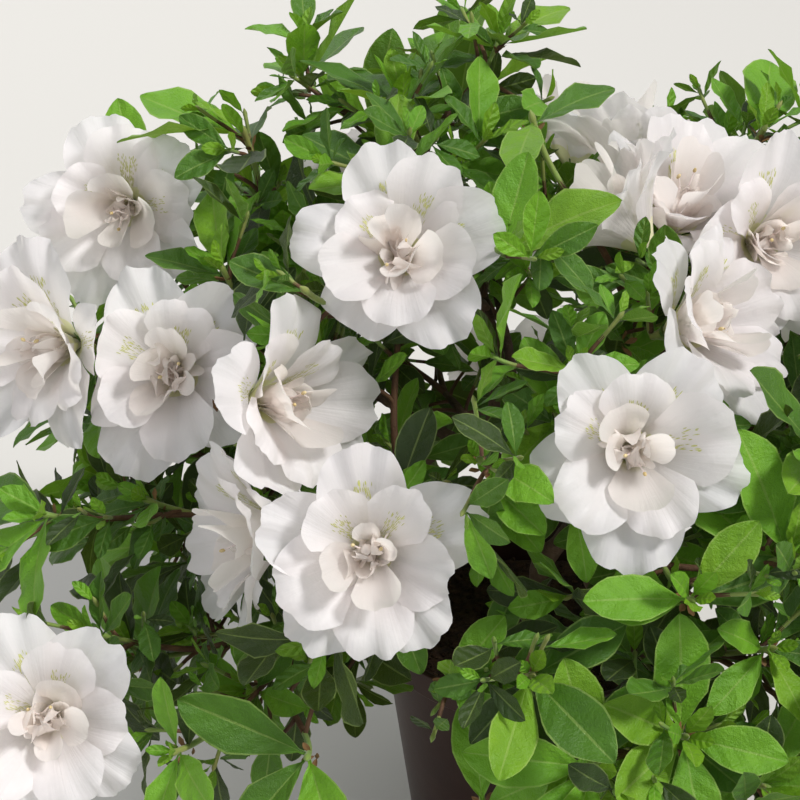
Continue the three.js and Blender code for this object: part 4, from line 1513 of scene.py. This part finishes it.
def leaf_kinds():
    """The collection of leaf shapes: the large kinds first, then the small ones"""
    kinds = bpy.data.collections.new("Leaf Kinds")
    sizes = ((LEAF_STATIONS, LEAF_COLUMNS), (SMALL_STATIONS, SMALL_COLUMNS))
    for row, (stations, columns) in enumerate(sizes):
        for order, kind in enumerate(LEAF_KINDS):
            name = f"leaf_{row * len(LEAF_KINDS) + order}"
            mesh = leaf_shape(name, kind, stations, columns, 1.7 * order)
            kinds.objects.link(bpy.data.objects.new(name, mesh))
    return kinds


def spray_points(name, rows):
    """A point for each leaf with its turn, size and kind"""
    roots, turns, sizes, kinds = zip(*rows)
    mesh = bpy.data.meshes.new(name)
    mesh.from_pydata([tuple(root * MM) for root in roots], [], [])
    keep(mesh, "turn", "FLOAT_VECTOR", np.array([tuple(turn) for turn in turns]).ravel())
    keep(mesh, "size", "FLOAT_VECTOR", (np.array(sizes) * MM).ravel())
    keep(mesh, "kind", "INT", kinds)
    return mesh


def leaf_pieces():
    """One piece of leaves for each tone, and one of bud scales"""
    tree, kinds = leaf_tree(), leaf_kinds()
    scale = finish_of("bud_scale")
    for tone, rows in sprays.rows.items():
        materials = [scale] * 3 if tone == "scale" else leaf_materials(tone)
        values = dict(zip(LEAF_PARTS, materials), Kinds=kinds)
        name = "bud_scales" if tone == "scale" else f"leaves_{tone}"
        piece = grow(name, spray_points(name, rows), tree, values)
        dressed(piece, None, "foliage", *FOLIAGE_NODES)
    for shape in list(kinds.objects):
        bpy.data.objects.remove(shape)
    bpy.data.collections.remove(kinds)


# Twigs and wood
def twig_pieces(fine):
    """Brown twigs, their green ends, and the fine twigs between the leaves"""
    brown = [part_of(curve, 0, GREEN_FROM + 0.08, 8, (start, TWIG_TIP_RADIUS))
             for curve, start, _ in twigs]
    brown += [part_of(curve, 0, 0.7, 3, (FINE_TWIG_RADIUS, 0.65)) for curve in fine]
    green = []
    for item in grown:
        path = part_of(item.curve, GREEN_FROM, 1, 6, (TWIG_TIP_RADIUS, SHOOT_END_RADIUS))
        green.append(path if item.shoot.bloom else with_bud(path, BUD_RADIUS))
    green += [with_bud(part_of(curve, 0.6, 1, 3, (0.62, 0.72)), FINE_BUD_RADIUS) for curve in fine]
    for item in open_blooms:
        places = [item.tip + item.axis * step for step in BLOOM_STALK]
        green.append((places, list(BLOOM_STALK.values())))
    tree = twig_tree()
    made = (("twigs", brown, "young_bark", "bark"), ("shoots", green, "green_shoot", "foliage"))
    for name, paths, bark, slot_name in made:
        values = {"Sides": TWIG_SIDES, "Bark": finish_of(bark)}
        piece = grow(name, path_mesh(name, paths), tree, values)
        piece.data.shade_smooth()
        dressed(piece, None, slot_name, *FOLIAGE_NODES)


def wood_piece():
    """Trunk, prongs, boughs and the stems of the masses, grown into one another"""
    sheet = Sheet()
    stem = Bend(TRUNK_FOOT - UP * 2, UP, FORK, unit(np.array([0.12, 0.0, 1.0])))
    shares = np.linspace(0, 1, TRUNK_RINGS)
    fade = np.clip(1 - shares * FORK_HEIGHT / FLARE_HEIGHT, 0, None)
    radii = mix(TRUNK_RADIUS, TRUNK_RADIUS * 0.9, shares)
    radii = radii + (TRUNK_FOOT_RADIUS - TRUNK_RADIUS) * fade * fade
    sheet.tube([stem.place(t) for t in shares], radii, TRUNK_SIDES, LOBE_DEPTH * fade)
    limbs = [(prong_curve(side), PRONG_RADIUS, PRONG_TIP_RADIUS) for side in PRONG_SIDES]
    for mass in masses:
        limbs.append((boughs[mass.index], bough_radius(mass, 0), bough_radius(mass, 1)))
        limbs.append((stems[mass.index], STEM_RADIUS, TWIG_RADIUS))
    for curve, first, last in limbs:
        sheet.tube(*part_of(curve, 0, 1, LIMB_STEPS, (first, last)), LIMB_SIDES)
    before = [
        ("REMESH", {"mode": "VOXEL", "voxel_size": WOOD_VOXEL, "adaptivity": 0.0}),
        ("SMOOTH", {"factor": 0.5, "iterations": 4}),
    ]
    values = {**BARK_RELIEF, "Bark": finish_of("bark")}
    piece = grow("wood", sheet.mesh("wood"), bark_tree(), values, before)
    piece.data.shade_smooth()
    dressed(piece, None, "bark", "trunk", *(f"bough_{mass.name}" for mass in masses))


# Blooms
def settled(places, item):
    """Places kept on a bloom's own side of its neighbours, and within the whole plant's reach"""
    for other in open_blooms:
        apart = other.face - item.face
        distance = np.linalg.norm(apart)
        if other is item or distance > 2 * BLOOM_RADIUS:
            continue
        apart = apart / distance
        past = (places - (item.face + other.face) / 2) @ apart
        kept = -PRESS * np.logaddexp(0, -past / PRESS)
        places = places + (kept - past)[..., None] * apart
    return np.clip(places, BOX_LOW, BOX_HIGH)


class Petal:
    """One petal of a bloom: its bearing round the axis, its size, and how it is curled"""

    def __init__(self, item, turn, length, half, rise, flare, random):
        raised, aside = square_to(item.axis)
        turn = turn + 0.3 * (random() - 0.5)
        self.item = item
        self.out = swung(raised, aside, turn)
        self.across = np.cross(item.axis, self.out)
        self.length = length * mix(0.9, 1.03, random())
        self.half = half * mix(0.86, 1.12, random())
        self.rise = rise + 5 * (random() - 0.5)
        self.flare = flare
        self.tilt = mix(1.0, 3.0, random())
        self.cup = mix(-2.0, 2.5, random())
        self.reflex = mix(-1.5, 2.5, random())
        self.notch = mix(-0.03, 0.06, random())
        self.phases = [2 * math.pi * random() for _ in range(3)]
        self.ruffle = mix(1.1, 2.5, random())
        self.from_top = abs((math.degrees(turn) + 180) % 360 - 180)

    def places(self, u, v):
        """Places at shares across and along the petal"""
        first, second, third = self.phases
        round_end = (1 - np.minimum(1, np.abs(u)) ** PETAL_ROUND) ** (1 / PETAL_ROUND)
        end = PETAL_SHOULDER + (1 - PETAL_SHOULDER) * round_end
        end = end - self.notch * np.exp(-((u / 0.2) ** 2))
        x = PETAL_FOOT + (self.length - PETAL_FOOT) * end * v
        wide = PETAL_FOOT + (PETAL_SHOULDER * self.length - PETAL_FOOT) * v
        y = u * self.half * wide
        reach = np.minimum(1, np.hypot(x, y) / self.length)
        z = self.rise - (self.rise + PETAL_ROOT) * (1 - reach) ** self.flare
        z = z + self.tilt * u * v * v + self.cup * (u * u - 0.3) * v
        z = z - self.reflex * np.maximum(0, v - 0.6) ** 2 * 6.25
        wave = np.sin(RUFFLES * math.pi * u + first) * v**2.5
        here = 0.5 + 0.5 * np.sin(CRIMPED_PATCHES * math.pi * u + third)
        crimp = np.sin(CRIMPS * math.pi * u + second) * here * v**6
        crease = np.exp(-((u / 0.12) ** 2)) * np.sin(math.pi * v)
        small = (self.length / OUTER_PETAL) ** 1.5
        z = z + small * (self.ruffle * wave + CRIMP * crimp - CREASE * crease)
        coarse, fine = FRAYS
        edge = np.sin(coarse * math.pi * u + third) + 0.35 * np.sin(fine * math.pi * u + first)
        x = x + FRAY * small * edge * v**4
        return self.laid(x, y, z)

    def laid(self, x, y, z):
        """Places on the bloom from lengths outwards, across and along its axis"""
        item = self.item
        places = item.face + x[..., None] * self.out + y[..., None] * self.across
        return settled(places + z[..., None] * item.axis, item)


class Petaloid(Petal):
    """A narrow petal of the heart, which stands up from the throat and rolls"""

    def __init__(self, item, turn, random, central):
        super().__init__(item, turn, 1, 1, 0, 1, random)
        broad = random() < 0.55
        self.reach = mix(4.0, 8.0, random()) + (3 if broad else 0)
        self.height = mix(21.0, 27.5, random())
        self.half = mix(4.6, 7.0, random()) if broad else mix(1.6, 3.0, random())
        self.roll = mix(-1.6, 2.2, random())
        self.twist = mix(-1.2, 1.2, random())
        self.hook = mix(3.0, 18.0, random())
        self.foot = 1.8
        if central:
            self.foot = mix(-3.0, -1.0, random())
            self.reach = mix(2.0, 6.0, random())
            self.height = mix(15.0, 21.0, random())
            self.half = mix(3.5, 5.5, random())

    def places(self, u, v):
        v = v * (1 - 0.16 * u * u)
        wide = self.half * np.sin(math.pi * (0.07 + 0.78 * v)) ** 0.8
        roll = self.roll if abs(self.roll) > 0.3 else 0.3
        side = wide * np.sin(roll * u) / roll
        rolled = wide * (1 - np.cos(roll * u)) / roll
        turn = self.twist * v
        y = side * np.cos(turn) - rolled * np.sin(turn)
        x = self.foot + self.reach * v**1.5 + side * np.sin(turn) + rolled * np.cos(turn)
        x = x - self.hook * np.maximum(0, v - 0.5) ** 2 * 2
        z = self.height * v**0.85 - PETALOID_ROOT - 2.5 * v**6
        z = z + 0.7 * np.sin(6 * u + self.phases[0]) * v**2
        return self.laid(x, y, z)


def add_petal(petal, columns, *parts):
    """Adds parts of a petal, each from one share of its length to another in a number of rows"""
    across = np.sin(np.linspace(-1, 1, columns) * math.pi / 2)
    for sheet, start, end, rows in parts:
        u, v = np.meshgrid(across, np.linspace(start, end, rows))
        sheet.grid(petal.places(u, v), (u + 1) / 2, v)


def add_flecks(petal, sheet, random):
    """Short streaks that lie along the inside of a petal, thickest near its throat"""
    if petal.from_top >= FLECKED_TURN:
        return
    count = mix(FLECKS_AT_TOP, FLECKS_ASIDE, petal.from_top / FLECKED_TURN)
    for _ in range(int(count)):
        u = 0.5 * (random() - 0.5) * (1 + random())
        v = mix(0.22, 0.62, random() ** 1.5)
        long = mix(0.016, 0.034, random())
        broad = mix(0.012, 0.024, random())
        grid_u, grid_v = np.meshgrid([u - broad, u + broad], [v - long, v, v + long])
        grid_u = u + (grid_u - u) * np.array([[0.3], [1], [0.3]])
        places = petal.places(grid_u, grid_v)
        along, across = places[-1, 0] - places[0, 0], places[1, 1] - places[1, 0]
        lift = unit(np.cross(along, across))
        if lift @ petal.item.axis < 0:
            lift = -lift
        sheet.grid(places + lift * FLECK_LIFT, grid_u, grid_v)


def add_whorls(item, sheets, random, fleck_random):
    """The two whorls of broad petals, their feet in the throats, with flecks near the top"""
    whorls = (("petals_outer", 36, OUTER_WHORL), ("petals_inner", 0, INNER_WHORL))
    for name, offset, (half, rise, flare, columns, foot_rows, rows) in whorls:
        for k in range(PETALS):
            turn = item.turn + math.radians(offset + 72 * k)
            length = OUTER_PETAL
            if name == "petals_inner":
                length = INNER_PETAL * mix(*INNER_SIZES, random())
            petal = Petal(item, turn, length, half, rise, flare, random)
            foot = (sheets["bloom_throats"], 0, THROAT_END, foot_rows)
            add_petal(petal, columns, foot, (sheets[name], THROAT_END, 1, rows))
            add_flecks(petal, sheets["bloom_flecks"], fleck_random)


def add_heart(item, heart, random):
    """The small petals of a bloom's heart, and the narrow ones that stand up from its throat"""
    start = random() * math.pi
    for k in range(HEART_PETALS):
        turn = start + (k + 0.7 * random()) * 2 * math.pi / HEART_PETALS
        length = mix(*HEART_PETAL, random())
        half, flare = mix(*HEART_HALF, random()), mix(*HEART_FLARE, random())
        petal = Petal(item, turn, length, half, HEART_RISE, flare, random)
        petal.tilt *= 2.2
        petal.cup = mix(1.0, 6.0, random())
        petal.reflex = mix(-6.0, 4.0, random())
        add_petal(petal, 15, (heart, HEART_FOOT, 1, 9))
    standing = LEAST_PETALOIDS + int(random() * MORE_PETALOIDS)
    for count, jitter, central in ((standing, 0.6, False), (CENTRAL_PETALS, 0.5, True)):
        for k in range(count):
            turn = (k + jitter * random()) * 2 * math.pi / count
            add_petal(Petaloid(item, turn, random, central), 7, (heart, 0, 1, 10))


def add_stamens(item, anthers, filaments, random):
    """Thin threads from the throat, each with its anther"""
    raised, aside = square_to(item.axis)
    for k in range(STAMENS):
        out = swung(raised, aside, (k + random()) * 2 * math.pi / STAMENS)
        foot = item.face - item.axis * STAMEN_ROOT + out
        end = item.face + item.axis * mix(-3, 4, random()) + out * mix(2, 7, random())
        curve = Bend(foot, item.axis, end, unit(item.axis + out * 0.5))
        filaments.append(part_of(curve, 0, 1, 8, (0.35, 0.25)))
        ahead = unit(item.axis + out * (random() - 0.3))
        places = [end + ahead * step for step in (-0.9, -0.3, 0.5, 1)]
        anthers.tube(places, [0.35, 0.6, 0.55, 0.25], 8)


def bloom_pieces():
    """All open blooms: two whorls of petals, the narrow ones of the heart, and what is in it"""
    sheets = {name: Sheet() for name in BLOOM_PIECES}
    filaments = []
    for number, item in enumerate(open_blooms):
        random = seeded_random(7000 + number)
        add_whorls(item, sheets, random, seeded_random(8000 + number))
        add_heart(item, sheets["petals_heart"], random)
        add_stamens(item, sheets["anthers"], filaments, random)
    for name, bloom_finish in BLOOM_PIECES.items():
        piece = shown(name, sheets[name].mesh(name))
        dressed(piece, finish_of(bloom_finish), "foliage", *FOLIAGE_NODES)
    values = {"Sides": STAMEN_SIDES, "Bark": finish_of("filament")}
    piece = grow("stamens", path_mesh("stamens", filaments), twig_tree(), values)
    piece.data.shade_smooth()
    dressed(piece, None, "foliage", *FOLIAGE_NODES)


# Pot and soil
def rounded(profile, radii):
    """A profile whose corners are rounded by the radii given"""
    smooth = [np.array(profile[0], float)]
    for before, corner, after, radius in zip(profile, profile[1:], profile[2:], radii):
        before, corner, after = (np.array(p, float) for p in (before, corner, after))
        back, ahead = unit(before - corner), unit(after - corner)
        for share in np.linspace(0, 1, 6):
            first = corner + back * radius * (1 - share)
            second = corner + ahead * radius * share
            smooth.append(mix(first, second, share))
    smooth.append(np.array(profile[-1], float))
    return np.array(smooth)


def turned(profile, sides, waver=None):
    """A sheet turned about the upright axis, its profile from inside to outside"""
    angles = np.linspace(0, 2 * math.pi, sides + 1)
    radius, height = profile[:, 0][:, None], profile[:, 1][:, None]
    places = [radius * np.cos(angles), radius * np.sin(angles), height + 0 * angles]
    places = np.stack(places, -1)
    if waver is not None:
        places[..., 2] += waver
    sheet = Sheet()
    rows = np.linspace(0, 1, len(profile))[:, None] + 0 * angles
    sheet.grid(places[::-1], angles / (2 * math.pi) + 0 * rows, rows)
    return sheet


def wall_radius(z):
    """Outside radius of the pot's wall, under its rim band"""
    return mix(POT_FOOT_RADIUS, POT_TOP_RADIUS - RIM_STEP, z / POT_HEIGHT)


def pot_piece():
    """The pot with rounded edges and a slightly raised underside"""
    outline = [
        (0, 0.8),
        (POT_FOOT_RADIUS - 5, 0.8),
        (POT_FOOT_RADIUS - 4, 0),
        (POT_FOOT_RADIUS, 0),
        (wall_radius(BAND_FOOT), BAND_FOOT),
        (POT_TOP_RADIUS - 0.6, BAND_FOOT + 0.4),
        (POT_TOP_RADIUS, POT_HEIGHT),
        (POT_TOP_RADIUS - POT_WALL, POT_HEIGHT),
        (wall_radius(BAND_FOOT) - POT_WALL, BAND_FOOT - RIM_STEP),
        (wall_radius(POT_FLOOR) - POT_WALL, POT_FLOOR),
        (0, POT_FLOOR),
    ]
    profile = rounded(outline, POT_ROUNDINGS)
    mesh = turned(profile, POT_SIDES).mesh("pot_shell", MERGED)
    dressed(shown("pot_shell", mesh), finish_of("pot_plastic"), "pot", "pot")


def soil_piece():
    """Potting soil: an uneven surface a little higher round the trunk, strewn with crumbs"""
    edge = wall_radius(SOIL_TOP - SOIL_CROWN) - POT_WALL - 2 * GAP
    radii = np.linspace(0.5, edge, SOIL_RINGS)
    heights = [SOIL_TOP - SOIL_CROWN * (r / edge) ** 2 - SOIL_CROWN for r in radii]
    profile = np.vstack([np.column_stack([radii, heights]), [edge, SOIL_TOP - SOIL_DEPTH]])
    random = seeded_random(SOIL_SEED)
    waver = [[SOIL_WAVER * (random() - 0.5) for _ in range(SOIL_SIDES)] for _ in profile]
    waver = np.array([[*row, row[0]] for row in waver])
    mesh = turned(profile[::-1], SOIL_SIDES, waver[::-1]).mesh("soil_top")
    piece = grow("soil_top", mesh, crumb_tree(), {**CRUMBS, "Soil": finish_of("soil")})
    dressed(piece, None, "soil", "soil")


# Stage, lights and camera
FLOOR_REACH = 15
FLOOR_CORNERS = ((-1, -1), (1, -1), (1, 1), (-1, 1))
LIGHTS_AIM = (0, 0, 0.17)
SKY = (0.90, 0.92, 0.94, 1)
CAMERA_PLACE = (-0.0486, -0.7425, 0.6189)
CAMERA_TILT = 60
CAMERA_LENS = 112.5
SENSOR_WIDTH = 36


def floor():
    """A plain pale floor"""
    places = [(x * FLOOR_REACH, y * FLOOR_REACH, 0) for x, y in FLOOR_CORNERS]
    mesh = bpy.data.meshes.new("floor")
    mesh.from_pydata(places, [], [(0, 1, 2, 3)])
    material = bpy.data.materials.new("floor")
    material.use_nodes = True
    shader = material.node_tree.nodes["Principled BSDF"]
    shader.inputs["Base Color"].default_value = colour("c4c2be")
    shader.inputs["Roughness"].default_value = 0.9
    mesh.materials.append(material)
    piece = shown("floor", mesh)


def aimed(name, data, place):
    """Hangs a light at a place and aims it at the crown"""
    light = bpy.data.objects.new(name, data)
    light.location = place
    aim = Vector(LIGHTS_AIM) - Vector(place)
    light.rotation_euler = aim.to_track_quat("-Z", "Y").to_euler()
    bpy.context.scene.collection.objects.link(light)


def lamp(name, place, size, power):
    """A square soft light"""
    data = bpy.data.lights.new(name, "AREA")
    data.size = size
    data.energy = power
    aimed(name, data, place)


def sun(name, place, power, spread, tint):
    """A far light that falls evenly, its spread in degrees"""
    data = bpy.data.lights.new(name, "SUN")
    data.energy = power
    data.angle = math.radians(spread)
    data.color = tint
    aimed(name, data, place)


def studio():
    """Lights, surroundings and camera"""
    scene = bpy.context.scene
    sun("key", (0.75, -0.35, 1.15), 3.1, 14, (1, 0.98, 0.95))
    lamp("fill", (-1.1, -1.1, 0.9), 1.4, 7)
    lamp("back", (-0.5, 1.1, 1.1), 0.8, 6)
    world = bpy.data.worlds.new("studio")
    world.use_nodes = True
    backdrop = world.node_tree.nodes["Background"].inputs
    backdrop["Color"].default_value = SKY
    backdrop["Strength"].default_value = 0.46
    scene.world = world
    scene.view_settings.view_transform = "Standard"
    camera = bpy.data.cameras.new("camera")
    camera.lens = CAMERA_LENS
    camera.sensor_width = SENSOR_WIDTH
    holder = bpy.data.objects.new("camera", camera)
    holder.location = CAMERA_PLACE
    holder.rotation_euler = (math.radians(CAMERA_TILT), 0, 0)
    scene.collection.objects.link(holder)
    scene.camera = holder


dress_shoots()
fine_twigs = dress_finer()
dress_gaps(fine_twigs)
dress_scales()
leaf_pieces()
twig_pieces(fine_twigs)
wood_piece()
bloom_pieces()
pot_piece()
soil_piece()
floor()
studio()
